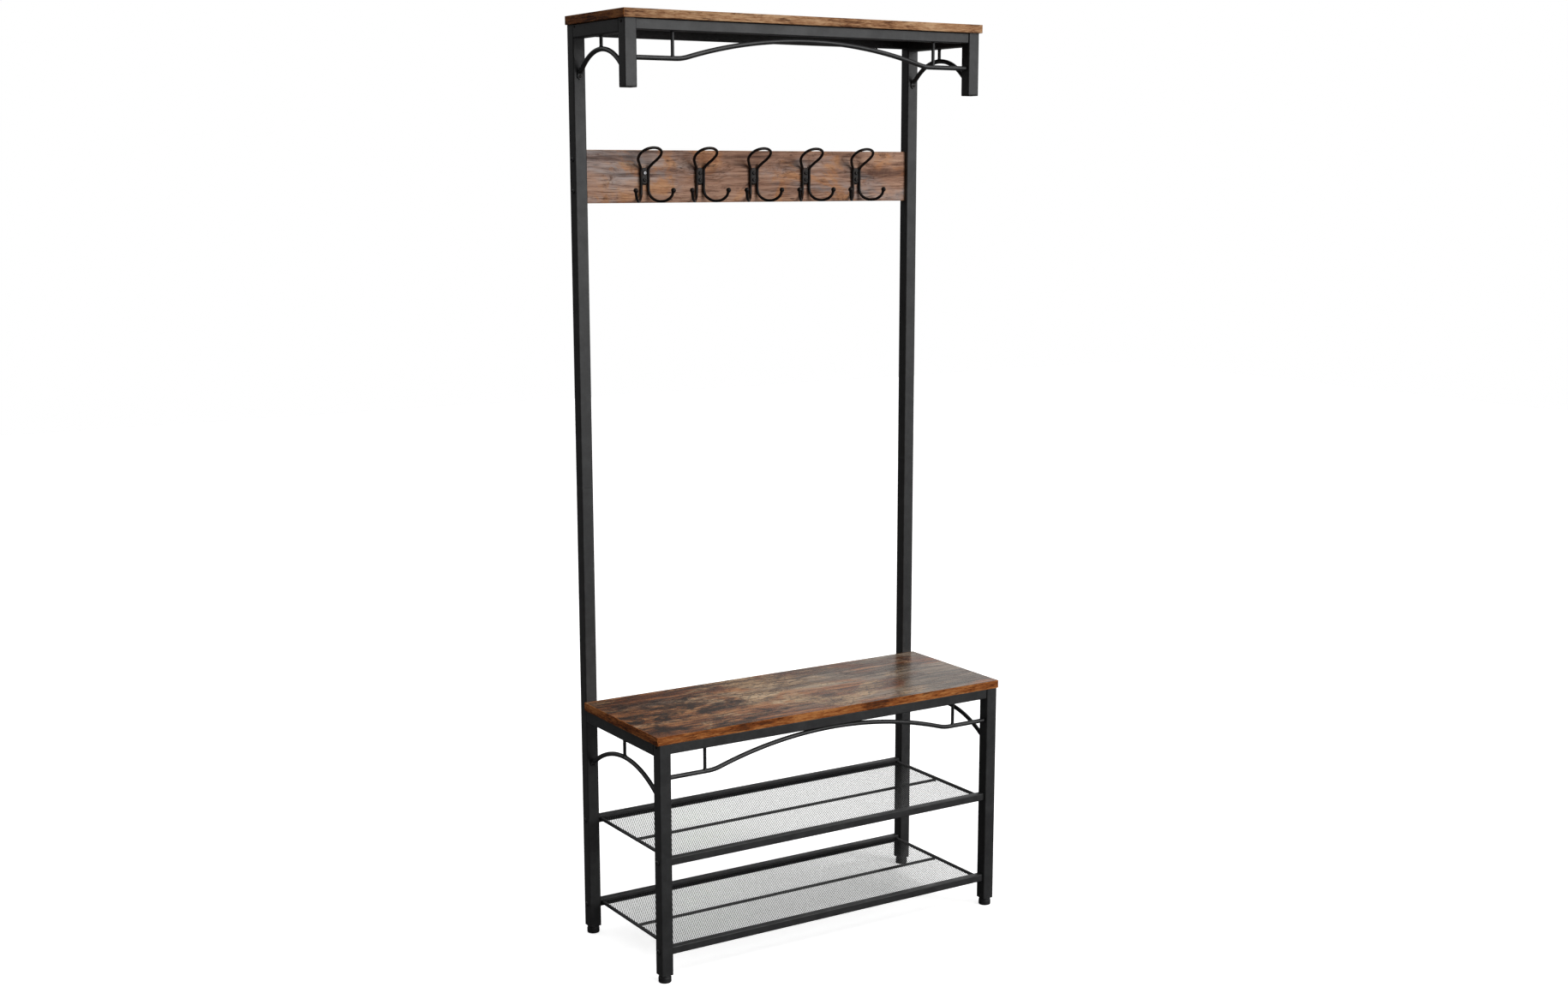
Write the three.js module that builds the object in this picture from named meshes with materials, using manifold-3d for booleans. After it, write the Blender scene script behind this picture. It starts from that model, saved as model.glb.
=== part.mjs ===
// Hall tree with hooks: a shoe bench with two mesh shelves, two tall rear uprights, a hook board
// and a top shelf, all on a frame of square steel tube.
// Millimetres. X runs to the right, Y to the back, Z up. The origin is on the floor, under the
// centre of the object.

import * as THREE from "three";
import { mergeVertices } from "three/addons/utils/BufferGeometryUtils.js";
import Module from "manifold-3d";

const wasm = await Module();
wasm.setup();

// ---------------------------------------------------------------- driving dimensions

const OVERALL = { width: 800, depth: 325, height: 1800 };
const GAP = 0.3; // clearance between pieces that fit into one another

const POST = { size: 25, wall: 1, corner: 2.5 };
const RAIL = { size: 20, wall: 1, corner: 2 };
const SHELF_RAIL = { size: 15, wall: 1, corner: 1.5 };

const FRAME_HALF = 396; // centre line to the outer face of the posts
const INNER_HALF = FRAME_HALF - POST.size; // centre line to the inner face of the posts
const POST_X = FRAME_HALF - POST.size / 2;

const FRONT_Y = -OVERALL.depth / 2; // front face of the bench legs
const REAR_Y = OVERALL.depth / 2; // rear face of the uprights
const UPRIGHT_FACE_Y = REAR_Y - POST.size;
const LEG_Y = FRONT_Y + POST.size / 2;
const UPRIGHT_Y = REAR_Y - POST.size / 2;

const TOP_FRAME_DEPTH = 230;
const TOP_POST_FACE_Y = REAR_Y - TOP_FRAME_DEPTH;
const TOP_POST_Y = TOP_POST_FACE_Y + POST.size / 2;

const BOARD_THICK = 16;
const TOP_BOARD_OVERHANG = 5.5; // beyond the front face of the top posts
const TOP_BOARD_UNDER = OVERALL.height - BOARD_THICK;
const BENCH_HEIGHT = 485;
const BENCH_BOARD_UNDER = BENCH_HEIGHT - BOARD_THICK;

const TOP_POST_LENGTH = 121; // from its end cap to the underside of the top board
const SEAM_Z = 913; // where the two sections of an upright meet
const SLEEVE_LENGTH = 80;

const HOOK_BOARD = { height: 100, thick: 15, bottom: 1456, setBack: 8 };
const HOOK_BOARD_FACE_Y = UPRIGHT_FACE_Y + HOOK_BOARD.setBack;

const ROD = 9; // ornamental rods
const STRUT = 6.5; // short uprights that hang them from the rails
const ROD_SIDES = 8;
// The waved rods: how far the level ends hang under the rail, where the bend starts, the crown's rise.
const WAVE = { drop: 48, bendX: 285, bendRadius: 90, strutX: 292, steps: 36 };
const WAVE_RISE = { top: 39.5, bench: 43 };
const ARCH = { steps: 14 };
const TAB = { width: 11, thick: 2.5, archAbove: 12, screwHole: 3.6, seatTop: 4 }; // flattened rod ends

const SHELF_AXES = { upper: 238, lower: 61.5 }; // height of the rails' centre lines
const SIDE_ROD = 7;
const SIDE_ROD_X = 364.5;
const CENTRE_ROD = 6;
const MESH = { thick: 1, halfLength: 358, lift: 1 }; // lift: its middle above the rails' axis

const FOOT = { padRadius: 12.5, padHeight: 11, neckRadius: 11.5, flange: 3, stemRadius: 4, stemTop: 46 };
const FLANGE_Z = 15; // underside of the plastic socket in each tube end
const TUBE_END_Z = FLANGE_Z + FOOT.flange;
const SOCKET_DEPTH = 25;

const CAP = { flange: 2.5, plug: 12 };

const BOLT = { shank: 6, headRadius: 5.5, headHeight: 3, reach: 38, socket: 3, socketDepth: 1.5 };
const BOLT_HOLE = BOLT.shank + 2 * GAP;

const HOOK = {
  spacing: 123,
  count: 5,
  wire: 5.5,
  halfGap: 8, // centre line to each of the two parallel wires
  neckZ: 1521,
  bendZ: 1480,
  dropDepth: 21,
  reach: 51.5,
  splay: Math.atan2(33, 40), // of each prong, away from straight ahead
  ball: 4.8,
  plateBottom: 1490,
  plateThick: 3,
  screwZ: 1512.5,
  lowerScrewZ: 1499.5,
};
// Half of a hook's loop, from its tip down: to the side, out from the board, and up from the neck.
const HOOK_LOOP = [
  [0, 42, 39],
  [11.5, 40, 37.3],
  [19.5, 35, 33],
  [23, 26.5, 26],
  [21, 16.5, 18],
  [14, 8, 9],
];
const SCREW = { shank: 3.5, headRadius: 3.6, headHeight: 2.4, length: 14 };
const SCREW_HOLE = SCREW.shank + 2 * GAP;

// ---------------------------------------------------------------- materials

const paint = (colour, roughness, metalness) =>
  new THREE.MeshStandardMaterial({ color: colour, roughness, metalness });

const BLACK_STEEL = paint(0x2b2c2c, 0.5, 0.3);
const RUSTIC_BOARD = paint(0x8a5a38, 0.45, 0);
const HOOK_STEEL = paint(0x15110f, 0.3, 0.5);
const ZINC_STEEL = paint(0xbfc1c2, 0.3, 0.9);
const MESH_STEEL = paint(0x3a3a3b, 0.5, 0.4);
const BLACK_PLASTIC = paint(0x161616, 0.6, 0);

// ---------------------------------------------------------------- solids

function toManifold(geometry) {
  const bare = geometry.clone();
  bare.deleteAttribute("normal");
  bare.deleteAttribute("uv");
  const merged = mergeVertices(bare, 1e-4);
  return new wasm.Manifold(
    new wasm.Mesh({
      numProp: 3,
      vertProperties: new Float32Array(merged.attributes.position.array),
      triVerts: new Uint32Array(merged.index.array),
    }),
  );
}

function toGeometry(solid) {
  const mesh = solid.getMesh();
  const geometry = new THREE.BufferGeometry();
  geometry.setAttribute("position", new THREE.BufferAttribute(mesh.vertProperties, 3));
  geometry.setIndex(new THREE.BufferAttribute(mesh.triVerts, 1));
  geometry.computeVertexNormals();
  return geometry;
}

const join = (first, ...others) =>
  toGeometry(others.reduce((solid, other) => solid.add(toManifold(other)), toManifold(first)));

const cut = (first, ...tools) =>
  toGeometry(tools.reduce((solid, tool) => solid.subtract(toManifold(tool)), toManifold(first)));

function box(width, depth, height) {
  return new THREE.BoxGeometry(width, depth, height);
}

function roundedSquare(size, corner) {
  const half = size / 2;
  const shape = new THREE.Shape();
  shape.moveTo(half - corner, -half);
  shape.absarc(half - corner, -half + corner, corner, -Math.PI / 2, 0, false);
  shape.absarc(half - corner, half - corner, corner, 0, Math.PI / 2, false);
  shape.absarc(-half + corner, half - corner, corner, Math.PI / 2, Math.PI, false);
  shape.absarc(-half + corner, -half + corner, corner, Math.PI, 1.5 * Math.PI, false);
  return shape;
}

// A square bar along +Z from z = 0.
function squareBar(size, corner, length) {
  return new THREE.ExtrudeGeometry(roundedSquare(size, corner), {
    depth: length,
    bevelEnabled: false,
    curveSegments: 1,
  });
}

// A square tube along +Z from z = 0, open at both ends.
function squareTube(section, length) {
  const outline = roundedSquare(section.size, section.corner);
  const bore = section.size - 2 * section.wall;
  outline.holes.push(roundedSquare(bore, section.corner - section.wall));
  return new THREE.ExtrudeGeometry(outline, { depth: length, bevelEnabled: false, curveSegments: 1 });
}

const tubeAlongX = (section, length) => squareTube(section, length).rotateY(Math.PI / 2);
const tubeAlongY = (section, length) => squareTube(section, length).rotateX(-Math.PI / 2);

function rod(diameter, length, sides = ROD_SIDES) {
  return new THREE.CylinderGeometry(diameter / 2, diameter / 2, length, sides);
}

const rodAlongX = (diameter, length, sides) => rod(diameter, length, sides).rotateZ(Math.PI / 2);
const rodAlongZ = (diameter, length, sides) => rod(diameter, length, sides).rotateX(Math.PI / 2);

function sweptRod(curve, diameter, steps, sides = ROD_SIDES) {
  const section = new THREE.Shape();
  section.absarc(0, 0, diameter / 2, 0, 2 * Math.PI, false);
  return new THREE.ExtrudeGeometry(section, {
    steps,
    extrudePath: curve,
    curveSegments: sides / 2,
    bevelEnabled: false,
  });
}

// A turned piece whose axis is +Z, from [radius, z] corners that start and end on the axis.
function turned(profile, segments) {
  const points = profile.map(([radius, z]) => new THREE.Vector2(radius, z));
  return new THREE.LatheGeometry(points, segments).rotateX(Math.PI / 2);
}

// ---------------------------------------------------------------- scene graph

const hallTree = new THREE.Group();

function place(name, geometry, material, x = 0, y = 0, z = 0) {
  const mesh = new THREE.Mesh(geometry, material);
  mesh.name = name;
  mesh.position.set(x, y, z);
  hallTree.add(mesh);
  return mesh;
}

const SIDES = [
  ["left", -1],
  ["right", 1],
];

// ---------------------------------------------------------------- uprights, legs and top posts

// Clearance holes for bolts that cross a post along X, at the given heights.
function boltHoles(heights) {
  return heights.map((z) => rodAlongX(BOLT_HOLE, 2 * POST.size, 10).translate(0, 0, z));
}

for (const [side, sign] of SIDES) {
  const x = sign * POST_X;
  const shelfHoles = boltHoles([SHELF_AXES.upper - TUBE_END_Z, SHELF_AXES.lower - TUBE_END_Z]);
  place(
    `lower_upright_${side}`,
    cut(squareTube(POST, SEAM_Z - TUBE_END_Z), ...shelfHoles),
    BLACK_STEEL,
    x,
    UPRIGHT_Y,
    TUBE_END_Z,
  );
  const upperUpright = squareTube(POST, TOP_BOARD_UNDER - SEAM_Z);
  place(`upper_upright_${side}`, upperUpright, BLACK_STEEL, x, UPRIGHT_Y, SEAM_Z);
  const sleeve = { size: POST.size - 2 * POST.wall - 2 * GAP, wall: 1.5, corner: 1.6 };
  place(
    `upright_sleeve_${side}`,
    squareTube(sleeve, SLEEVE_LENGTH),
    ZINC_STEEL,
    x,
    UPRIGHT_Y,
    SEAM_Z - SLEEVE_LENGTH / 2,
  );
  place(
    `front_leg_${side}`,
    cut(squareTube(POST, BENCH_BOARD_UNDER - TUBE_END_Z), ...shelfHoles),
    BLACK_STEEL,
    x,
    LEG_Y,
    TUBE_END_Z,
  );

  const postTubeEnd = TOP_BOARD_UNDER - TOP_POST_LENGTH + CAP.flange;
  const topPost = squareTube(POST, TOP_BOARD_UNDER - postTubeEnd);
  place(`top_post_${side}`, topPost, BLACK_STEEL, x, TOP_POST_Y, postTubeEnd);
  const plugSize = POST.size - 2 * POST.wall - 2 * GAP;
  const cap = join(
    squareBar(POST.size, POST.corner, CAP.flange).translate(0, 0, -CAP.flange),
    squareBar(plugSize, 1.2, CAP.plug),
  );
  place(`post_cap_${side}`, cap, BLACK_PLASTIC, x, TOP_POST_Y, postTubeEnd);
}

// ---------------------------------------------------------------- rails

const topRailZ = TOP_BOARD_UNDER - RAIL.size / 2;
const benchRailZ = BENCH_BOARD_UNDER - RAIL.size / 2;
const benchRearRailY = UPRIGHT_FACE_Y - RAIL.size / 2;
const crossRails = [
  ["top_front_rail", TOP_POST_Y, topRailZ],
  ["top_rear_rail", UPRIGHT_Y, topRailZ],
  ["bench_front_rail", LEG_Y, benchRailZ],
  ["bench_rear_rail", benchRearRailY, benchRailZ],
];
for (const [name, y, z] of crossRails) {
  place(name, tubeAlongX(RAIL, 2 * INNER_HALF), BLACK_STEEL, -INNER_HALF, y, z);
}

const sideRails = [
  ["top_side_rail", TOP_POST_FACE_Y + POST.size, TOP_BOARD_UNDER - POST.size / 2],
  ["bench_side_rail", FRONT_Y + POST.size, BENCH_BOARD_UNDER - POST.size / 2],
];
for (const [name, frontY, z] of sideRails) {
  for (const [side, sign] of SIDES) {
    const rail = tubeAlongY(POST, UPRIGHT_FACE_Y - frontY);
    place(`${name}_${side}`, rail, BLACK_STEEL, sign * POST_X, frontY, z);
  }
}

// ---------------------------------------------------------------- ornamental rods

// The centre line of the waved rod: level at both ends, one long crown arc in the middle, and a
// short bend that joins them on each side.
class WaveCurve extends THREE.Curve {
  constructor(halfLength, rise) {
    super();
    this.halfLength = halfLength;
    this.rise = rise;
    const bothRadii = (WAVE.bendX ** 2 / rise + rise) / 2;
    this.crownRadius = bothRadii - WAVE.bendRadius;
    this.crownX = (WAVE.bendX * this.crownRadius) / bothRadii;
  }

  getPoint(t, target = new THREE.Vector3()) {
    const { bendX, bendRadius } = WAVE;
    const x = (2 * t - 1) * this.halfLength;
    const out = Math.abs(x);
    let z = 0;
    if (out < this.crownX) {
      z = this.rise - this.crownRadius + Math.sqrt(this.crownRadius ** 2 - out ** 2);
    } else if (out < bendX) {
      z = bendRadius - Math.sqrt(bendRadius ** 2 - (bendX - out) ** 2);
    }
    return target.set(x, 0, z);
  }
}

// A flattened rod end: a small plate in the YZ plane, its back at x = 0, facing +X. Its lower end is
// a half circle about z = 0, and its upper end, round as well, reaches the given height.
function endTab(above) {
  const radius = TAB.width / 2;
  const outline = new THREE.Shape();
  outline.absarc(0, above - radius, radius, 0, Math.PI, false);
  outline.absarc(0, 0, radius, Math.PI, 2 * Math.PI, false);
  const settings = { depth: TAB.thick, bevelEnabled: false, curveSegments: 3 };
  const plate = new THREE.ExtrudeGeometry(outline, settings);
  return plate.rotateX(Math.PI / 2).rotateZ(Math.PI / 2);
}

function waveRod(rise) {
  const halfLength = INNER_HALF - GAP - TAB.thick / 2;
  const pieces = [sweptRod(new WaveCurve(halfLength, rise), ROD, WAVE.steps)];
  const strutLength = WAVE.drop - GAP;
  for (const [, sign] of SIDES) {
    const strut = rodAlongZ(STRUT, strutLength).translate(sign * WAVE.strutX, 0, strutLength / 2);
    const tab = endTab(TAB.width / 2);
    if (sign > 0) {
      tab.rotateZ(Math.PI);
    }
    pieces.push(strut, tab.translate(sign * (INNER_HALF - GAP), 0, 0));
  }
  return join(...pieces);
}

const railUnderside = { top: topRailZ - RAIL.size / 2, bench: benchRailZ - RAIL.size / 2 };
const waveY = { top: TOP_POST_Y, bench: LEG_Y };
for (const [level, rise] of Object.entries(WAVE_RISE)) {
  place(`${level}_wave_rod`, waveRod(rise), BLACK_STEEL, 0, waveY[level], railUnderside[level] - WAVE.drop);
}

// The centre line of a side arch: one arc in the YZ plane, with its ends level at z = 0.
class ArchCurve extends THREE.Curve {
  constructor(halfSpan, rise) {
    super();
    this.rise = rise;
    this.radius = (halfSpan ** 2 + rise ** 2) / (2 * rise);
    this.halfAngle = Math.asin(halfSpan / this.radius);
  }

  getPoint(t, target = new THREE.Vector3()) {
    const angle = (2 * t - 1) * this.halfAngle;
    const z = this.rise - this.radius * (1 - Math.cos(angle));
    return target.set(0, this.radius * Math.sin(angle), z);
  }
}

// An arch between two posts, hung from the side rail by one strut. Each end is trimmed flat, cleared
// in front of its screw and drilled for it.
function sideArch(frontY, rise, railAboveEnds) {
  const halfSpan = (UPRIGHT_FACE_Y - frontY) / 2 - GAP;
  const run = halfSpan + 1;
  const arc = sweptRod(new ArchCurve(run, rise), ROD, ARCH.steps);
  const strutLength = railAboveEnds - GAP - rise;
  const strut = rodAlongZ(STRUT, strutLength).translate(0, 0, rise + strutLength / 2);
  const tabs = [];
  const tools = [];
  const block = 4 * ROD;
  for (const [, sign] of SIDES) {
    const tab = endTab(TAB.archAbove).rotateZ((-sign * Math.PI) / 2);
    tabs.push(tab.translate(0, sign * halfSpan, 0));
    tools.push(box(block, block, 2 * block).translate(0, sign * (halfSpan + block / 2), 0));
    const seatY = sign * (halfSpan - TAB.thick - block / 2);
    tools.push(box(block, block, block).translate(0, seatY, TAB.seatTop - block / 2));
    tools.push(rod(TAB.screwHole, 2 * ROD, 10).translate(0, sign * halfSpan, 0));
  }
  return cut(join(arc, strut, ...tabs), ...tools);
}

const sideRailUnderside = { top: TOP_BOARD_UNDER - POST.size, bench: BENCH_BOARD_UNDER - POST.size };
const arches = [
  {
    name: "top_arch",
    frontY: TOP_POST_FACE_Y + POST.size,
    endZ: 1690,
    rise: 45,
    rail: sideRailUnderside.top,
  },
  {
    name: "bench_arch",
    frontY: FRONT_Y + POST.size,
    endZ: 357,
    rise: 48,
    rail: sideRailUnderside.bench,
  },
];
for (const { name, frontY, endZ, rise, rail } of arches) {
  for (const [side, sign] of SIDES) {
    const arch = sideArch(frontY, rise, rail - endZ);
    place(`${name}_${side}`, arch, BLACK_STEEL, sign * POST_X, (UPRIGHT_FACE_Y + frontY) / 2, endZ);
  }
}

// ---------------------------------------------------------------- boards

const topBoardDepth = TOP_FRAME_DEPTH + TOP_BOARD_OVERHANG;
place(
  "top_board",
  box(OVERALL.width, topBoardDepth, BOARD_THICK),
  RUSTIC_BOARD,
  0,
  REAR_Y - topBoardDepth / 2,
  OVERALL.height - BOARD_THICK / 2,
);

const benchBoardDepth = UPRIGHT_FACE_Y - FRONT_Y;
place(
  "bench_board",
  box(OVERALL.width, benchBoardDepth, BOARD_THICK),
  RUSTIC_BOARD,
  0,
  FRONT_Y + benchBoardDepth / 2,
  BENCH_HEIGHT - BOARD_THICK / 2,
);

const hookXs = Array.from({ length: HOOK.count }, (_, i) => (i - (HOOK.count - 1) / 2) * HOOK.spacing);
const hookBoardZ = HOOK_BOARD.bottom + HOOK_BOARD.height / 2;
const pilotHole = (x, z) => rod(SCREW_HOLE, 2 * HOOK_BOARD.thick).translate(x, 0, z - hookBoardZ);
const pilotHoles = hookXs.flatMap((x) => [HOOK.screwZ, HOOK.lowerScrewZ].map((z) => pilotHole(x, z)));
place(
  "hook_board",
  cut(box(2 * INNER_HALF, HOOK_BOARD.thick, HOOK_BOARD.height), ...pilotHoles),
  RUSTIC_BOARD,
  0,
  HOOK_BOARD_FACE_Y + HOOK_BOARD.thick / 2,
  hookBoardZ,
);

// ---------------------------------------------------------------- mesh shelves

const shelfRailInset = (POST.size - SHELF_RAIL.size) / 2;
const shelfFrontY = FRONT_Y + shelfRailInset + SHELF_RAIL.size / 2;
const shelfRearY = REAR_Y - shelfRailInset - SHELF_RAIL.size / 2;
const meshUnder = MESH.lift - MESH.thick / 2;

// The welded frame: two tube rails, a rod at each end and one rod along the middle.
function shelfFrame() {
  const rodReach = shelfRearY - shelfFrontY - SHELF_RAIL.size + 2 * (SHELF_RAIL.wall - 0.5);
  const pieces = [shelfFrontY, shelfRearY].map((y) =>
    tubeAlongX(SHELF_RAIL, 2 * INNER_HALF).translate(-INNER_HALF, y, 0),
  );
  for (const [, sign] of SIDES) {
    pieces.push(rod(SIDE_ROD, rodReach).translate(sign * SIDE_ROD_X, 0, 0));
  }
  const centreRodZ = meshUnder - GAP - CENTRE_ROD / 2;
  pieces.push(rodAlongX(CENTRE_ROD, 2 * SIDE_ROD_X).translate(0, 0, centreRodZ));
  return join(...pieces);
}

for (const [level, z] of Object.entries(SHELF_AXES)) {
  place(`${level}_shelf_frame`, shelfFrame(), BLACK_STEEL, 0, 0, z);
  const meshDepth = shelfRearY - shelfFrontY - SHELF_RAIL.size - 2 * GAP;
  place(
    `${level}_shelf_mesh`,
    box(2 * MESH.halfLength, meshDepth, MESH.thick),
    MESH_STEEL,
    0,
    0,
    z + MESH.lift,
  );
}

// ---------------------------------------------------------------- hooks

// One bent wire, from the ball of the left prong, up, round the loop, and down to the right ball.
function hookWirePoints() {
  const back = HOOK.wire / 2 + GAP;
  const bend = { x: HOOK.halfGap, forward: back, z: HOOK.bendZ };
  const half = HOOK_LOOP.map(([x, forward, up]) => [x, forward, HOOK.neckZ + up]);
  half.push([HOOK.halfGap + 0.6, back + 0.6, HOOK.neckZ + 1]);
  half.push([HOOK.halfGap, back, HOOK.neckZ - 10]);
  half.push([HOOK.halfGap, back, (HOOK.neckZ + HOOK.bendZ) / 2]);
  const prongSteps = 6;
  for (let i = 0; i <= prongSteps; i += 1) {
    const angle = (Math.PI * i) / prongSteps;
    const run = (HOOK.reach / 2) * (1 - Math.cos(angle));
    half.push([
      bend.x + run * Math.sin(HOOK.splay),
      bend.forward + run * Math.cos(HOOK.splay),
      bend.z - HOOK.dropDepth * Math.sin(angle),
    ]);
  }
  const right = half.map(([x, forward, z]) => new THREE.Vector3(x, -forward, z));
  const left = right
    .slice(1)
    .map((p) => new THREE.Vector3(-p.x, p.y, p.z))
    .reverse();
  return [...left, ...right];
}

function coatHook() {
  const points = hookWirePoints();
  const wire = sweptRod(new THREE.CatmullRomCurve3(points, false, "centripetal"), HOOK.wire, 44, 6);
  const balls = [points[0], points[points.length - 1]].map((p) =>
    new THREE.SphereGeometry(HOOK.ball, 8, 6).translate(p.x, p.y, p.z),
  );
  const plateHeight = HOOK.neckZ - HOOK.plateBottom;
  const plate = box(2 * HOOK.halfGap, HOOK.plateThick, plateHeight).translate(
    0,
    -GAP - HOOK.plateThick / 2,
    HOOK.plateBottom + plateHeight / 2,
  );
  const holes = [HOOK.screwZ, HOOK.lowerScrewZ].map((z) => rod(SCREW_HOLE, 20).translate(0, 0, z));
  return cut(join(wire, ...balls, plate), ...holes);
}

// A pan-head screw along -Z, the underside of its head at z = 0, with a cross recess left out.
function panScrew() {
  const { shank, headRadius, headHeight, length } = SCREW;
  return turned(
    [
      [0, -length],
      [shank / 2, 1.5 - length],
      [shank / 2, 0],
      [headRadius, 0],
      [headRadius, headHeight * 0.45],
      [headRadius * 0.6, headHeight],
      [0, headHeight],
    ],
    10,
  );
}

hookXs.forEach((x, i) => {
  place(`hook_${i + 1}`, coatHook(), HOOK_STEEL, x, HOOK_BOARD_FACE_Y, 0);
  const screwY = HOOK_BOARD_FACE_Y - HOOK.plateThick - 2 * GAP;
  place(`hook_screw_${i + 1}`, panScrew().rotateX(Math.PI / 2), ZINC_STEEL, x, screwY, HOOK.screwZ);
});

// ---------------------------------------------------------------- feet

// A plastic socket in the end of a tube, threaded for the stem of the foot.
function footSocket() {
  const plugSize = POST.size - 2 * POST.wall - 2 * GAP;
  const body = join(
    squareBar(POST.size, POST.corner, FOOT.flange),
    squareBar(plugSize, 1.2, SOCKET_DEPTH).translate(0, 0, FOOT.flange - 0.5),
  );
  return cut(body, rodAlongZ(2 * (FOOT.stemRadius + GAP), 4 * SOCKET_DEPTH, 16));
}

// A round pad with a neck and a threaded stem, standing on z = 0.
function levellingFoot() {
  const { padRadius, padHeight, neckRadius, stemRadius, stemTop } = FOOT;
  return turned(
    [
      [0, 0],
      [padRadius - 1.5, 0],
      [padRadius, 1.5],
      [padRadius, padHeight - 1],
      [padRadius - 1, padHeight],
      [neckRadius, padHeight],
      [neckRadius, FLANGE_Z],
      [stemRadius, FLANGE_Z],
      [stemRadius, stemTop - 1],
      [stemRadius - 1, stemTop],
      [0, stemTop],
    ],
    16,
  );
}

const corners = SIDES.flatMap(([side, sign]) => [
  [`front_${side}`, sign, LEG_Y],
  [`rear_${side}`, sign, UPRIGHT_Y],
]);
for (const [corner, sign, y] of corners) {
  place(`foot_socket_${corner}`, footSocket(), BLACK_PLASTIC, sign * POST_X, y, FLANGE_Z);
  place(`levelling_foot_${corner}`, levellingFoot(), BLACK_PLASTIC, sign * POST_X, y, 0);
}

// ---------------------------------------------------------------- shelf bolts

// A button-head bolt along -Z with a socket in its head, the underside of the head at z = 0.
function buttonBolt() {
  const { shank, headRadius, headHeight, reach, socket, socketDepth } = BOLT;
  return turned(
    [
      [0, -reach],
      [shank / 2, -reach],
      [shank / 2, 0],
      [headRadius, 0],
      [headRadius, headHeight * 0.35],
      [headRadius * 0.62, headHeight],
      [socket / 2, headHeight],
      [socket / 2, headHeight - socketDepth],
      [0, headHeight - socketDepth],
    ],
    12,
  );
}

for (const [level, z] of Object.entries(SHELF_AXES)) {
  for (const [corner, sign, y] of corners) {
    const bolt = buttonBolt().rotateY((sign * Math.PI) / 2);
    place(`${level}_shelf_bolt_${corner}`, bolt, BLACK_STEEL, sign * (FRAME_HALF + GAP / 2), y, z);
  }
}

export default hallTree;
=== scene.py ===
import math

import bmesh
import bpy
import numpy as np
from mathutils import Matrix, Vector


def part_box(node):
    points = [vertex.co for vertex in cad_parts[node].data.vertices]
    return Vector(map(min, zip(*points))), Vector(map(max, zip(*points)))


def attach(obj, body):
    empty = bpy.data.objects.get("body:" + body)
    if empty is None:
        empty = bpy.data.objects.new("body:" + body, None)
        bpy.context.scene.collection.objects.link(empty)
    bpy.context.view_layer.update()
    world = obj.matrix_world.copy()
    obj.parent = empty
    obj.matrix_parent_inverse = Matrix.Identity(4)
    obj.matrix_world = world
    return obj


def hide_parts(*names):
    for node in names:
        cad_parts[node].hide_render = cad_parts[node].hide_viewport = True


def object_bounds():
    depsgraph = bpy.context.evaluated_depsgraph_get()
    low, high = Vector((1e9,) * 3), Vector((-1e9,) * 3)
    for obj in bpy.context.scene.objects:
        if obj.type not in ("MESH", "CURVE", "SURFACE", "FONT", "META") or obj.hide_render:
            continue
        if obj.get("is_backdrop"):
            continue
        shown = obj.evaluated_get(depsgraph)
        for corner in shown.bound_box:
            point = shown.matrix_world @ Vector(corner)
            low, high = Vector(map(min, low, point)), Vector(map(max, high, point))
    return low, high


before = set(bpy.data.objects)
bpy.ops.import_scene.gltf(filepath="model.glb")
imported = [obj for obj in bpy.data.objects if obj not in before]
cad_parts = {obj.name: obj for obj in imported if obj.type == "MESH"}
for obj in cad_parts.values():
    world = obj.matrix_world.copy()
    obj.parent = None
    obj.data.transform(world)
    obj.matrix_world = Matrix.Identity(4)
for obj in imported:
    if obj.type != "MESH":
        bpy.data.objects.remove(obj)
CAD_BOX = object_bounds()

# Lengths below are in millimetres, in the part's own frame, and become metres in make().
MM = 0.001
FRAME_BODY = "hall_tree_frame"
SIDES = (("left", -1), ("right", 1))
CORNERS = ("front_left", "front_right", "rear_left", "rear_right")

POST = {"size": 25.0, "corner": 2.5, "wall": 1.0}
RAIL = {"size": 20.0, "corner": 2.0, "wall": 1.0}
SHELF_RAIL = {"size": 15.0, "corner": 1.6, "wall": 1.0}


def node_box(name):
    low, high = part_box(name)
    return np.array(low) / MM, np.array(high) / MM


# ---- node graphs


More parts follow.
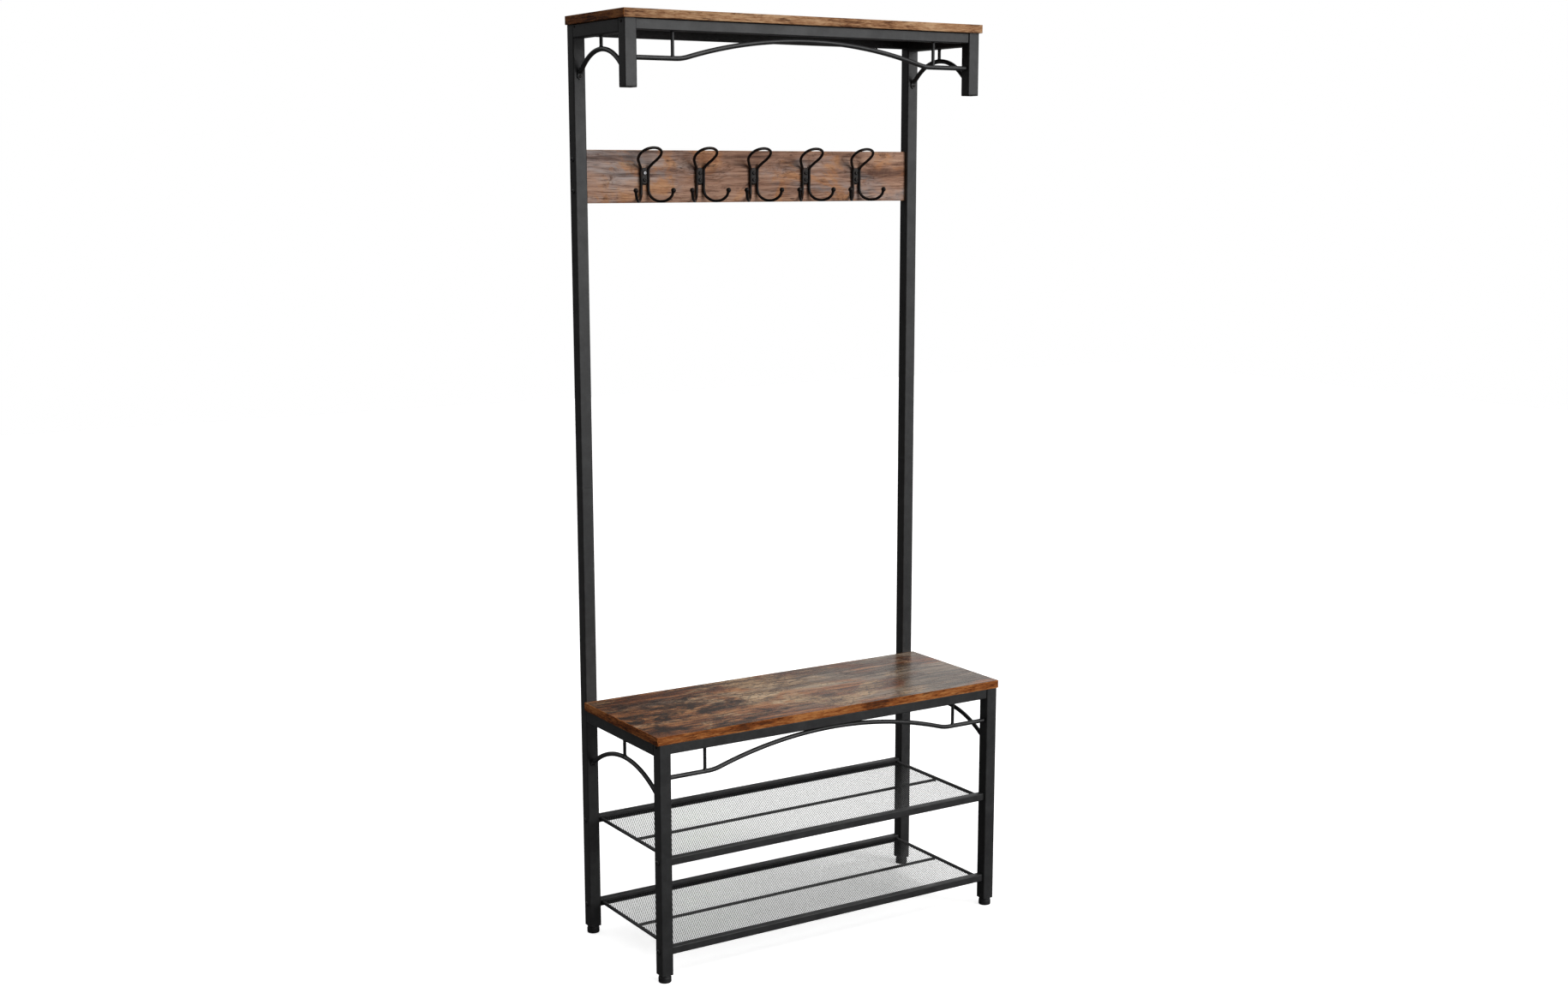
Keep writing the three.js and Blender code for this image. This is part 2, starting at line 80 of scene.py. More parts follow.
class Nodes:
    """A node tree built by short calls. Values may be sockets or numbers."""

    def __init__(self, tree):
        self.tree = tree
        tree.nodes.clear()

    def put(self, socket, value):
        if isinstance(value, bpy.types.NodeSocket):
            self.tree.links.new(value, socket)
        else:
            socket.default_value = (*value, 1.0) if socket.type == "RGBA" else value

    def add(self, kind, *values, **properties):
        """A new node. The values go to its first sockets, in their order."""
        node = self.tree.nodes.new(kind)
        for key, value in properties.items():
            setattr(node, key, value)
        for socket, value in zip(node.inputs, values):
            self.put(socket, value)
        return node

    def maths(self, operation, a, b=0.0, c=0.0):
        return self.add("ShaderNodeMath", a, b, c, operation=operation).outputs[0]

    def times(self, a, b):
        return self.maths("MULTIPLY", a, b)

    def total(self, *terms, start=0.0):
        """The sum of values, each times its weight."""
        for value, weight in terms:
            start = self.maths("MULTIPLY_ADD", value, weight, start)
        return start

    def smooth(self, *values):
        """Runs smoothly from one number to another: value, low, high, out_low, out_high."""
        return self.add("ShaderNodeMapRange", *values, interpolation_type="SMOOTHSTEP").outputs[0]

    def place(self, vector, scale, location=(0, 0, 0)):
        return self.add("ShaderNodeMapping", vector, location, (0, 0, 0), scale).outputs[0]

    def shift(self, vector, amount, scale):
        """Moves a place by a vector value times a scale."""
        node = self.add("ShaderNodeVectorMath", amount, scale, vector, operation="MULTIPLY_ADD")
        return node.outputs[0]

    def span(self, vector, low, high):
        """0 at one x and 1 at another."""
        x = self.add("ShaderNodeSeparateXYZ", vector).outputs[0]
        return self.add("ShaderNodeMapRange", x, low, high).outputs[0]

    def noise(self, vector, scale, detail=2.0, roughness=0.5, distortion=0.0, colour=False):
        node = self.add("ShaderNodeTexNoise", vector)
        names = ("Scale", "Detail", "Roughness", "Distortion")
        for key, value in zip(names, (scale, detail, roughness, distortion)):
            node.inputs[key].default_value = value
        return node.outputs["Color" if colour else "Fac"]

    def grain(self, vector, along, across, *settings, seed=(0, 0, 0)):
        """Noise stretched along x. settings are its detail, roughness, distortion and colour."""
        return self.noise(self.place(vector, (along, across, across), seed), 1.0, *settings)

    def voronoi(self, vector, scale, feature="F1"):
        node = self.add("ShaderNodeTexVoronoi", vector, feature=feature)
        node.inputs["Scale"].default_value = scale
        return node.outputs["Distance"]

    def mix(self, factor, a, b):
        node = self.add("ShaderNodeMix", factor, data_type="RGBA")
        self.put(node.inputs[6], a)
        self.put(node.inputs[7], b)
        return node.outputs[2]

    def ramp(self, factor, stops):
        node = self.add("ShaderNodeValToRGB", factor)
        elements = node.color_ramp.elements
        while len(elements) < len(stops):
            elements.new(0.5)
        for element, (where, colour) in zip(elements, stops):
            element.position = where
            element.color = (*colour, 1.0)
        return node.outputs[0]

    def bump(self, height, distance, strength):
        node = self.add("ShaderNodeBump", strength, distance)
        self.put(node.inputs["Height"], height)
        return node.outputs[0]


class Graph(Nodes):
    """A Principled material. Its position is the place on the object, in metres."""

    def __init__(self, name):
        self.material = bpy.data.materials.new(name)
        self.material.use_nodes = True
        super().__init__(self.material.node_tree)
        self.position = self.add("ShaderNodeTexCoord").outputs["Object"]

    def finish(self, colour, roughness, normal, **inputs):
        shader = self.add("ShaderNodeBsdfPrincipled", colour)
        inputs.update(Roughness=roughness, Normal=normal)
        for key, value in inputs.items():
            self.put(shader.inputs[key.replace("_", " ")], value)
        self.add("ShaderNodeOutputMaterial", shader.outputs["BSDF"])
        return self.material


# ---- materials


def powder_coat(name, colour, roughness, peel=1.0):
    """Satin powder coat on steel: fine orange peel, a faint sparkle of grit and handling marks."""
    g = Graph(name)
    peel_height = g.noise(g.position, 620.0, 2.0, 0.5)
    grit = g.noise(g.position, 2600.0, 1.0, 0.5)
    marks = g.noise(g.position, 14.0, 5.0, 0.62, 0.4)
    dust = g.noise(g.position, 46.0, 6.0, 0.7)
    tone = g.smooth(dust, 0.35, 0.75)
    lighter = tuple(min(1.0, c * 1.5 + 0.004) for c in colour)
    surface = g.mix(tone, colour, lighter)
    rough = g.total((g.smooth(marks, 0.3, 0.7), 0.12), start=roughness - 0.06)
    height = g.total((grit, 0.25), start=peel_height)
    normal = g.bump(height, 0.00022 * peel, 0.55)
    return g.finish(surface, rough, normal, IOR=1.5)


CHAR = (0.013, 0.0065, 0.004)
SCORCH = (0.070, 0.023, 0.009)
PORE = (0.030, 0.013, 0.008)
KNOT = (0.018, 0.009, 0.006)
SAWN = (0.36, 0.22, 0.13)


def scaled(tones, factor):
    return tuple((where, tuple(c * factor for c in colour)) for where, colour in tones)


def rustic_laminate(
    name, seed, node, tones, greys, golds, charred, golden, greying_and_sheen, crazing, gloss, shine
):
    """Printed, embossed rustic wood: grain, burnt blotches, golden and greyed areas, knots.

    charred, golden and weathered say how common each kind of patch is, as a few (share of the
    board's length, amount) stops. crazing is how strong the cracks in the golden areas are, gloss
    is the roughness and shine the specular level.
    """
    g = Graph(name)
    low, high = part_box(node)
    share = g.span(g.position, low[0], high[0])
    base = g.place(g.position, (1, 1, 1), seed)
    swirl = g.grain(base, 6.0, 14.0, 3.0, 0.5, 0.0, True)
    bent = g.shift(base, swirl, (0.030, 0.011, 0.011))
    knots = g.voronoi(g.place(bent, (2.7, 7.5, 7.5)), 1.0)
    pull = g.smooth(knots, 0.03, 0.24, 1.0, 0.0)
    across = g.add("ShaderNodeCombineXYZ", 0.0, pull, pull).outputs[0]
    bent = g.shift(bent, across, (0.0, 0.010, 0.010))

    def more(value, stops):
        """Adds the amount that the stops give at each place along the board."""
        amounts = [(where, (amount, amount, amount)) for where, amount in stops]
        return g.maths("ADD", value, g.ramp(share, amounts))

    fine = g.grain(bent, 22.0, 720.0, 4.0, 0.66)
    streak = g.grain(bent, 5.0, 120.0, 5.0, 0.62)
    plank = g.grain(bent, 2.0, 19.0, 4.0, 0.55, 0.3)
    tone = g.total((fine, 0.26), (streak, 0.38), (plank, 0.36))
    colour = g.ramp(tone, tones)

    # Grey print patches. The bench's stops raise them toward its right end, and there they are
    # painted reflection of the sheen.
    greyness = g.grain(bent, 3.4, 9.0, 6.0, 0.64, 0.4, seed=(7.3, 1.1, 4.7))
    greyness = g.smooth(more(greyness, greying_and_sheen), 0.54, 0.70)
    colour = g.mix(greyness, colour, g.ramp(tone, greys))

    gold = g.grain(bent, 7.0, 13.0, 5.0, 0.66, 0.6, seed=(3.1, 6.2, 0.4))
    gold = g.smooth(more(gold, golden), 0.58, 0.68)
    crazed = g.shift(bent, g.noise(bent, 60.0, 3.0, 0.6, 0.0, True), (0.012, 0.012, 0.012))
    plates = g.voronoi(g.place(crazed, (46.0, 105.0, 105.0)), 1.0, "DISTANCE_TO_EDGE")
    crackle = g.times(g.smooth(plates, 0.0, 0.12, 1.0, 0.0), gold)
    colour = g.mix(g.times(gold, 0.85), colour, g.ramp(tone, golds))
    colour = g.mix(g.times(crackle, crazing), colour, PORE)

    blot = g.grain(bent, 10.0, 24.0, 8.0, 0.72, 1.1, seed=(2.1, 8.4, 3.3))
    speckled = g.grain(bent, 60.0, 110.0, 5.0, 0.70, 0.6, seed=(5.1, 0.4, 1.3))
    blot = more(g.total((blot, 0.66), (speckled, 0.34)), charred)
    colour = g.mix(g.smooth(blot, 0.52, 0.63, 0.0, 0.72), colour, SCORCH)
    burnt = g.smooth(blot, 0.605, 0.665)
    colour = g.mix(g.times(burnt, 0.90), colour, CHAR)

    ridge = g.grain(bent, 7.0, 135.0, 3.0, 0.6, seed=(1.7, 3.9, 0.6))
    ridge = g.maths("ABSOLUTE", g.maths("SUBTRACT", ridge, 0.5))
    gate = g.smooth(g.grain(bent, 9.0, 26.0), 0.52, 0.66)
    check = g.times(g.smooth(ridge, 0.002, 0.018, 1.0, 0.0), gate)
    colour = g.mix(g.times(check, 0.70), colour, PORE)

    rings = g.total((g.maths("SINE", g.times(knots, 120.0)), 0.5), start=0.5)
    rings = g.times(rings, g.smooth(knots, 0.05, 0.20, 0.55, 0.0))
    colour = g.mix(rings, colour, PORE)
    colour = g.mix(g.smooth(knots, 0.03, 0.085, 0.92, 0.0), colour, KNOT)

    dots = g.voronoi(g.place(bent, (26.0, 62.0, 62.0)), 1.0)
    dot_gate = g.smooth(g.grain(bent, 6.0, 10.0, seed=(0.6, 5.3, 2.2)), 0.50, 0.60)
    colour = g.mix(g.times(g.smooth(dots, 0.07, 0.14, 0.85, 0.0), dot_gate), colour, PORE)

    saw = g.grain(bent, 480.0, 17.0, 2.0, 0.6)
    saw_gate = g.smooth(g.grain(bent, 9.0, 9.0), 0.45, 0.62)
    saw_mark = g.times(g.smooth(saw, 0.57, 0.72), saw_gate)
    colour = g.mix(g.times(saw_mark, 0.20), colour, SAWN)
    pores = g.smooth(fine, 0.36, 0.47, 1.0, 0.0)
    colour = g.mix(g.times(pores, 0.45), colour, PORE)

    rough = g.total((streak, 0.16), (burnt, 0.06), start=gloss - 0.08)
    marks = ((pores, -0.7), (streak, 0.5), (check, -1.0), (crackle, -crazing), (saw_mark, 0.25))
    height = g.total(*marks)
    normal = g.bump(height, 0.00010, 0.7)
    return g.finish(colour, rough, normal, IOR=1.46, Specular_IOR_Level=shine)


def edge_banding(name, seed, grain, tones):
    """The warmer edge tape: long broken grain lines, dark runs and a few knots."""
    g = Graph(name)

    def stretched(across, along):
        scale = [across, across, across]
        scale[grain] = along
        return g.place(base, tuple(scale))

    base = g.place(g.position, (1, 1, 1), seed)
    fine = g.noise(stretched(640.0, 90.0), 1.0, 4.0, 0.68, 0.3)
    line = g.noise(stretched(230.0, 22.0), 1.0, 5.0, 0.66, 0.4)
    patch = g.noise(stretched(36.0, 7.0), 1.0, 5.0, 0.66, 0.8)
    tone = g.total((fine, 0.26), (line, 0.34), (patch, 0.40))
    colour = g.ramp(tone, tones)
    run = g.smooth(g.noise(stretched(150.0, 24.0), 1.0, 6.0, 0.72, 0.9), 0.55, 0.63)
    colour = g.mix(g.times(run, 0.72), colour, (0.052, 0.020, 0.010))
    knots = g.voronoi(stretched(6.2, 4.6), 1.0)
    colour = g.mix(g.smooth(knots, 0.05, 0.13, 0.85, 0.0), colour, (0.030, 0.021, 0.018))
    rough = g.total((fine, 0.16), start=0.38)
    normal = g.bump(g.total((fine, 0.6), start=run), 0.00008, 0.6)
    return g.finish(colour, rough, normal, IOR=1.45, Specular_IOR_Level=0.12)


def hook_paint():
    """Dark bronze lacquer over rough wire, worn slightly brown where it is handled."""
    g = Graph("hook_bronze_paint")
    cloud = g.noise(g.position, 130.0, 5.0, 0.6, 0.5)
    pits = g.noise(g.position, 900.0, 3.0, 0.55)
    worn = g.smooth(cloud, 0.40, 0.70)
    colour = g.mix(worn, (0.006, 0.0055, 0.0055), (0.022, 0.012, 0.008))
    rough = g.total((cloud, 0.18), start=0.22)
    normal = g.bump(g.total((pits, 0.35), (cloud, 0.8)), 0.00028, 0.5)
    return g.finish(colour, rough, normal, IOR=1.45, Specular_IOR_Level=0.28)


def plated_steel(name, colour, roughness):
    """Plated fastener steel with turning marks and slight clouding."""
    g = Graph(name)
    cloud = g.noise(g.position, 240.0, 4.0, 0.6)
    lines = g.noise(g.place(g.position, (900.0, 900.0, 4200.0)), 1.0, 2.0)
    tint = tuple(c * 0.72 for c in colour)
    surface = g.mix(cloud, tint, colour)
    rough = g.total((cloud, 0.22), start=roughness - 0.1)
    normal = g.bump(lines, 0.00003, 0.6)
    return g.finish(surface, rough, normal, Metallic=1.0)


def moulded_plastic():
    """Injection-moulded black plastic with a fine spark texture."""
    g = Graph("moulded_black_plastic")
    spark = g.voronoi(g.position, 2300.0)
    flow = g.noise(g.place(g.position, (60.0, 60.0, 240.0)), 1.0, 3.0)
    colour = g.mix(flow, (0.011, 0.011, 0.012), (0.020, 0.020, 0.021))
    rough = g.total((flow, 0.16), start=0.42)
    normal = g.bump(g.total((flow, 0.4), start=spark), 0.00005, 0.6)
    return g.finish(colour, rough, normal, IOR=1.49)


BENCH_TONES = (
    (0.42, (0.045, 0.012, 0.004)),
    (0.46, (0.153, 0.045, 0.013)),
    (0.50, (0.306, 0.102, 0.031)),
    (0.54, (0.432, 0.176, 0.062)),
    (0.59, (0.558, 0.286, 0.121)),
)
GREY_TONES = (
    (0.41, (0.050, 0.034, 0.023)),
    (0.46, (0.144, 0.102, 0.070)),
    (0.51, (0.261, 0.194, 0.140)),
    (0.60, (0.405, 0.315, 0.239)),
)
GOLD_TONES = (
    (0.42, (0.140, 0.066, 0.026)),
    (0.46, (0.380, 0.220, 0.105)),
    (0.51, (0.600, 0.395, 0.215)),
    (0.59, (0.740, 0.550, 0.350)),
)
HOOK_BOARD_TONES = (
    (0.41, (0.119, 0.051, 0.030)),
    (0.46, (0.246, 0.123, 0.075)),
    (0.51, (0.357, 0.197, 0.130)),
    (0.55, (0.442, 0.258, 0.174)),
    (0.61, (0.544, 0.353, 0.246)),
)
HOOK_GREY_TONES = (
    (0.41, (0.072, 0.056, 0.053)),
    (0.47, (0.196, 0.157, 0.145)),
    (0.53, (0.306, 0.255, 0.239)),
    (0.61, (0.442, 0.374, 0.352)),
)
HOOK_ORANGE_TONES = (
    (0.41, (0.192, 0.065, 0.022)),
    (0.46, (0.352, 0.144, 0.058)),
    (0.53, (0.480, 0.228, 0.101)),
    (0.61, (0.576, 0.327, 0.166)),
)
BAND_TONES = (
    (0.42, (0.055, 0.0125, 0.0028)),
    (0.46, (0.183, 0.049, 0.0105)),
    (0.51, (0.318, 0.102, 0.026)),
    (0.57, (0.477, 0.194, 0.060)),
)
# A lighter copy of the edge tape's colours: painted light for the top board's long edges, which
# face the lamps. The hook board's tape reuses it.
BAND_TONES_PAINTED_LIGHTER = (
    (0.42, (0.088, 0.033, 0.012)),
    (0.46, (0.224, 0.101, 0.044)),
    (0.51, (0.352, 0.187, 0.091)),
    (0.57, (0.480, 0.296, 0.163)),
)

steel_coat = powder_coat("black_powder_coat", (0.017, 0.0172, 0.0178), 0.40)
rod_coat = powder_coat("black_rod_coat", (0.015, 0.0152, 0.0158), 0.33, 0.8)
mesh_coat = powder_coat("black_mesh_coat", (0.014, 0.014, 0.0145), 0.34, 0.5)
bolt_coat = powder_coat("black_bolt_finish", (0.018, 0.018, 0.019), 0.27, 0.4)
hook_coat = hook_paint()
zinc = plated_steel("bright_zinc", (0.62, 0.63, 0.65), 0.30)
dark_zinc = plated_steel("dark_zinc", (0.060, 0.056, 0.054), 0.34)
plastic = moulded_plastic()


bench_wood = rustic_laminate(
    "bench_laminate",
    seed=(0.37, 0.12, 0.0),
    node="bench_board",
    tones=BENCH_TONES,
    greys=GREY_TONES,
    golds=GOLD_TONES,
    charred=((0.0, 0.095), (0.20, 0.12), (0.40, 0.04), (0.70, 0.02), (1.0, 0.03)),
    golden=((0.0, 0.06), (0.20, 0.03), (0.45, 0.16), (0.62, 0.12), (0.80, 0.02)),
    # The grey that rises toward the bench's right end is painted reflection of its sheen, laid
    # over grey print patches.
    greying_and_sheen=((0.0, 0.0), (0.25, 0.0), (0.60, 0.10), (0.85, 0.20)),
    crazing=0.72,
    gloss=0.27,
    shine=0.5,
)
hook_wood = rustic_laminate(
    "hook_board_laminate",
    seed=(2.15, 0.9, 1.3),
    node="hook_board",
    tones=HOOK_BOARD_TONES,
    greys=HOOK_GREY_TONES,
    golds=HOOK_ORANGE_TONES,
    charred=((0.0, 0.0), (0.5, 0.01), (1.0, 0.01)),
    golden=((0.0, 0.04), (0.35, 0.10), (0.6, 0.08), (0.9, 0.08)),
    greying_and_sheen=((0.0, 0.09), (0.25, 0.0), (0.7, 0.0), (0.95, 0.03)),
    crazing=0.12,
    gloss=0.42,
    shine=0.26,
)
top_wood = rustic_laminate(
    "top_laminate",
    seed=(4.9, 3.1, 2.2),
    node="top_board",
    tones=BENCH_TONES,
    greys=GREY_TONES,
    golds=GOLD_TONES,
    charred=((0.0, 0.06), (0.5, 0.03), (1.0, 0.05)),
    golden=((0.0, 0.04), (0.4, 0.10), (1.0, 0.04)),
    greying_and_sheen=((0.0, 0.05), (0.6, 0.08), (1.0, 0.02)),
    crazing=0.60,
    gloss=0.30,
    shine=0.5,
)
bench_band_x = edge_banding("bench_banding_long", (0.0, 0.0, 0.0), 0, BAND_TONES)
# The bench's short edge tape is its long edge tape painted 1.38 times lighter: painted light on
# its end faces.
bench_band_y_painted_lighter = edge_banding("bench_banding_short_painted_lighter", (3.7, 1.9, 0.4), 1, scaled(BAND_TONES, 1.38))
# Painted light: the top's long edge tape takes the lighter copy of the tape colours.
top_band_x_painted_lighter = edge_banding("top_banding_long_painted_lighter", (1.3, 5.2, 0.7), 0, BAND_TONES_PAINTED_LIGHTER)
# The top's short edge tape is the bench tape painted 0.84 times darker: painted shade on its end
# faces.
top_band_y_painted_darker = edge_banding("top_banding_short_painted_darker", (2.4, 0.6, 3.1), 1, scaled(BAND_TONES, 0.84))
# The hook board's tape reuses the lighter, painted-light copy of the tape colours.
hook_band_x = edge_banding("hook_board_banding_long", (7.7, 2.9, 1.4), 0, BAND_TONES_PAINTED_LIGHTER)
hook_band_z = edge_banding("hook_board_banding_upright", (6.1, 0.3, 2.4), 2, BAND_TONES_PAINTED_LIGHTER)


# ---- mesh building


class Shell:
    """Vertices and faces collected for one piece, in millimetres."""

    def __init__(self):
        self.points = []
        self.faces = []
        self.tags = []
        self.count = 0

    def take(self, points):
        start = self.count
        points = np.asarray(points, float).reshape(-1, 3)
        self.points.append(points)
        self.count += len(points)
        return start

    def face(self, corners):
        self.faces.append(tuple(corners))
        self.tags.append(0)

    def loft(self, rings, closed=False, fan=False):
        """Joins rings of points that run anticlockwise about the direction of travel."""
        sides = len(rings[0])
        start = self.take(np.concatenate(rings))
        total = len(rings)
        for i in range(total if closed else total - 1):
            a = start + i * sides
            b = start + (i + 1) % total * sides
            for j in range(sides):
                k = (j + 1) % sides
                self.face((a + j, a + k, b + k, b + j))
        if closed:
            return self
        last = start + (total - 1) * sides
        self.face([start + j for j in reversed(range(sides))])
        if fan:
            middle = self.take(np.mean(rings[-1], axis=0))
            for j in range(sides):
                self.face((last + j, last + (j + 1) % sides, middle))
        else:
            self.face([last + j for j in range(sides)])
        return self


def make(name, shell, materials, replaces=(), body=FRAME_BODY, sharp=38.0, weighted=True):
    mesh = bpy.data.meshes.new(name)
    mesh.from_pydata((np.concatenate(shell.points) * MM).tolist(), [], shell.faces)
    mesh.polygons.foreach_set("material_index", shell.tags)
    materials = materials if isinstance(materials, (list, tuple)) else [materials]
    for material in materials:
        mesh.materials.append(material)
    mesh.validate()
    work = bmesh.new()
    work.from_mesh(mesh)
    bmesh.ops.recalc_face_normals(work, faces=work.faces)
    work.to_mesh(mesh)
    work.free()
    mesh.shade_smooth()
    mesh.set_sharp_from_angle(angle=math.radians(sharp))
    obj = bpy.data.objects.new(name, mesh)
    bpy.context.scene.collection.objects.link(obj)
    if weighted:
        modifier = obj.modifiers.new("face_weighted_normals", "WEIGHTED_NORMAL")
        modifier.keep_sharp = True
        modifier.weight = 80
    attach(obj, body)
    if replaces:
        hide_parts(*replaces)
    return obj


def rounded_rect(width, depth, corner, segments=5):
    corner = max(corner, 0.05)
    outline = []
    for quarter, (su, sv) in enumerate(((1, 1), (-1, 1), (-1, -1), (1, -1))):
        cu, cv = su * (width / 2 - corner), sv * (depth / 2 - corner)
        for k in range(segments + 1):
            angle = math.pi / 2 * (quarter + k / segments)
            outline.append((cu + corner * math.cos(angle), cv + corner * math.sin(angle)))
    return np.array(outline)


def lift(axis, outline, along, centre=(0, 0, 0)):
    """Puts a flat outline square to an axis, at one place along it."""
    u, v = outline[:, 0], outline[:, 1]
    w = np.full(len(u), float(along))
    columns = {"x": (w, u, v), "y": (v, w, u), "z": (u, v, w)}[axis]
    return np.stack(columns, axis=1) + np.array(centre, float)


END_CHAMFER = 0.35


def square_tube(shell, axis, section, start, end, centre):
    """A hollow tube with a softened rim at each end."""
    size, corner, wall = section["size"], section["corner"], section["wall"]

    def outline(inset):
        side = size - 2 * inset
        return rounded_rect(side, side, corner - inset)

    stations = [
        (start, END_CHAMFER),
        (start + END_CHAMFER, 0.0),
        (end - END_CHAMFER, 0.0),
        (end, END_CHAMFER),
        (end, wall),
        (start, wall),
    ]
    rings = [lift(axis, outline(inset), along, centre) for along, inset in stations]
    shell.loft(rings, closed=True)
    return shell


def tube_piece(name, node, axis, section):
    low, high = node_box(node)
    index = "xyz".index(axis)
    centre = (low + high) / 2
    centre[index] = 0.0
    shell = square_tube(Shell(), axis, section, low[index], high[index], centre)
    return make(name, shell, steel_coat, (node,))


def frames_along(path, side):
    """Two cross directions for each point of a path, without twist."""
    tangents = np.gradient(path, axis=0)
    tangents /= np.linalg.norm(tangents, axis=1, keepdims=True)
    current = np.array(side, float)
    across = []
    for tangent in tangents:
        current = current - tangent * (tangent @ current)
        current /= np.linalg.norm(current)
        across.append(current.copy())
    across = np.array(across)
    return across, np.cross(tangents, across)


def power(value, exponent):
    return np.sign(value) * np.abs(value) ** exponent


def sweep(shell, path, halves, sides, side, squareness=None):
    """A bar along a path. halves gives its half size across and in depth at each point."""
    path = np.asarray(path, float)
    across, depth = frames_along(path, side)
    angles = np.arange(sides) * 2 * math.pi / sides
    rings = []
    for i, point in enumerate(path):
        a, b = halves[i] if np.ndim(halves) > 1 else halves
        exponent = 1.0 if squareness is None else squareness[i]
        u = a * power(np.cos(angles), exponent)
        v = b * power(np.sin(angles), exponent)
        rings.append(point + np.outer(u, across[i]) + np.outer(v, depth[i]))
    shell.loft(rings)


def basis(direction):
    z = np.array(direction, float)
    z /= np.linalg.norm(z)
    x = np.cross((0.0, 0.0, 1.0), z)
    if np.linalg.norm(x) < 1e-6:
        x = np.array((1.0, 0.0, 0.0))
    x /= np.linalg.norm(x)
    return x, np.cross(z, x), z


def turned(shell, origin, direction, profile, sides, fan=True):
    """A turned piece. Each ring is a radius, or an outline function of the angle, and a height."""
    x, y, z = basis(direction)
    angles = np.arange(sides) * 2 * math.pi / sides
    rings = []
    for radius, height in profile:
        r = radius(angles) if callable(radius) else np.full(sides, float(radius))
        ring = np.outer(r * np.cos(angles), x) + np.outer(r * np.sin(angles), y)
        rings.append(ring + np.array(origin, float) + z * height)
    shell.loft(rings, fan=fan)
    return shell


def cross_outline(arm, half_width):
    def outline(angles):
        turn = np.abs((angles + math.pi / 4) % (math.pi / 2) - math.pi / 4)
        side = half_width / np.maximum(np.sin(turn), 1e-6)
        return np.minimum(arm / np.cos(turn), side)

    return outline


def hex_outline(flat):
    def outline(angles):
        turn = angles % (math.pi / 3) - math.pi / 6
        return flat / 2 / np.cos(turn)

    return outline


# The sides and crown of each kind of head: shares of its radius and of its height.
PAN = ((0.97, 0), (1, 0.12), (1, 0.42), (0.955, 0.66), (0.86, 0.85), (0.72, 0.97), (0.64, 1))
BUTTON = ((0.98, 0), (1, 0.1), (0.985, 0.3), (0.93, 0.52), (0.84, 0.72), (0.72, 0.88))
BUTTON += ((0.58, 0.97), (0.5, 1))


def pan_head(shell, origin, direction, radius, height, shank=0.0, length=0.0):
    """A pan-head screw with a cross recess. The origin is under its head."""
    arm, width = radius * 0.60, radius * 0.23
    profile = [(0.3, -length), (shank / 2, 1.5 - length), (shank / 2, 0.0)] if length else []
    profile += [(radius * r, height * h) for r, h in PAN]
    profile += [
        (cross_outline(arm, width), height),
        (cross_outline(arm * 0.97, width * 0.93), height - 0.08),
        (cross_outline(arm * 0.62, width * 0.72), height * 0.45),
        (0.12, height * 0.32),
    ]
    return turned(shell, origin, direction, profile, 48)


def button_head(shell, origin, direction, radius, height, socket, shank=0.0, length=0.0):
    """A domed bolt with a hexagon socket. The origin is under its head."""
    floor = height - height * 0.68
    profile = []
    if length:
        profile += [(shank / 2 - 0.5, -length), (shank / 2, 0.8 - length), (shank / 2, 0.0)]
    profile += [(radius * r, height * h) for r, h in BUTTON]
    profile += [
        (hex_outline(socket * 1.08), height),
        (hex_outline(socket), height - 0.12),
        (hex_outline(socket), floor),
        (0.2, floor - 0.3),
    ]
    return turned(shell, origin, direction, profile, 48)


def between(t, t0, t1, a, b):
    return (t1 - t) / (t1 - t0) * a + (t - t0) / (t1 - t0) * b


def smoothed(points, per_span):
    """A centripetal Catmull-Rom curve through the points."""
    points = [np.array(p, float) for p in points]
    points = [2 * points[0] - points[1], *points, 2 * points[-1] - points[-2]]
    out = []
    for p0, p1, p2, p3 in zip(points, points[1:], points[2:], points[3:]):
        knots = [0.0]
        for a, b in ((p0, p1), (p1, p2), (p2, p3)):
            knots.append(knots[-1] + max(np.linalg.norm(b - a), 1e-6) ** 0.5)
        t0, t1, t2, t3 = knots
        for t in np.linspace(t1, t2, per_span, endpoint=False):
            a = between(t, t0, t1, p0, p1)
            b = between(t, t1, t2, p1, p2)
            c = between(t, t2, t3, p2, p3)
            ends = between(t, t0, t2, a, b), between(t, t1, t3, b, c)
            out.append(between(t, t1, t2, *ends))
    out.append(points[-2])
    return np.array(out)


# ---- posts and rails

POST_TUBES = (
    ("rear_upright_lower", "lower_upright", "z"),
    ("rear_upright_upper", "upper_upright", "z"),
    ("bench_leg", "front_leg", "z"),
    ("shelf_post", "top_post", "z"),
    ("shelf_side_rail", "top_side_rail", "y"),
    ("seat_side_rail", "bench_side_rail", "y"),
)
for side, _ in SIDES:
    for name, node, axis in POST_TUBES:
        tube_piece(f"{name}_{side}", f"{node}_{side}", axis, POST)
for name, node in (("shelf", "top"), ("seat", "bench")):
    tube_piece(f"{name}_front_rail", f"{node}_front_rail", "x", RAIL)
    tube_piece(f"{name}_rear_rail", f"{node}_rear_rail", "x", RAIL)

PLUG_SLACK = 0.6


def plug_rings(node, flange, rim, tip):
    """A plug in a post's end, upwards. rim is its flange: a height, what is cut off, a corner."""
    low, high = node_box(node)
    size, top = POST["size"], low[2] + flange
    plug = size - 2 * POST["wall"] - PLUG_SLACK
    stations = [(low[2] + rise, size - cut, corner) for rise, cut, corner in rim]
    stations += [(top, size - 0.5, 2.3), (top, plug, 1.4)]
    stations += [(high[2] - 1.0, plug, 1.4), (high[2], plug - tip, 1.0)]
    centre = (low + high) / 2
    centre[2] = 0.0
    return [lift("z", rounded_rect(s, s, c), z, centre) for z, s, c in stations]


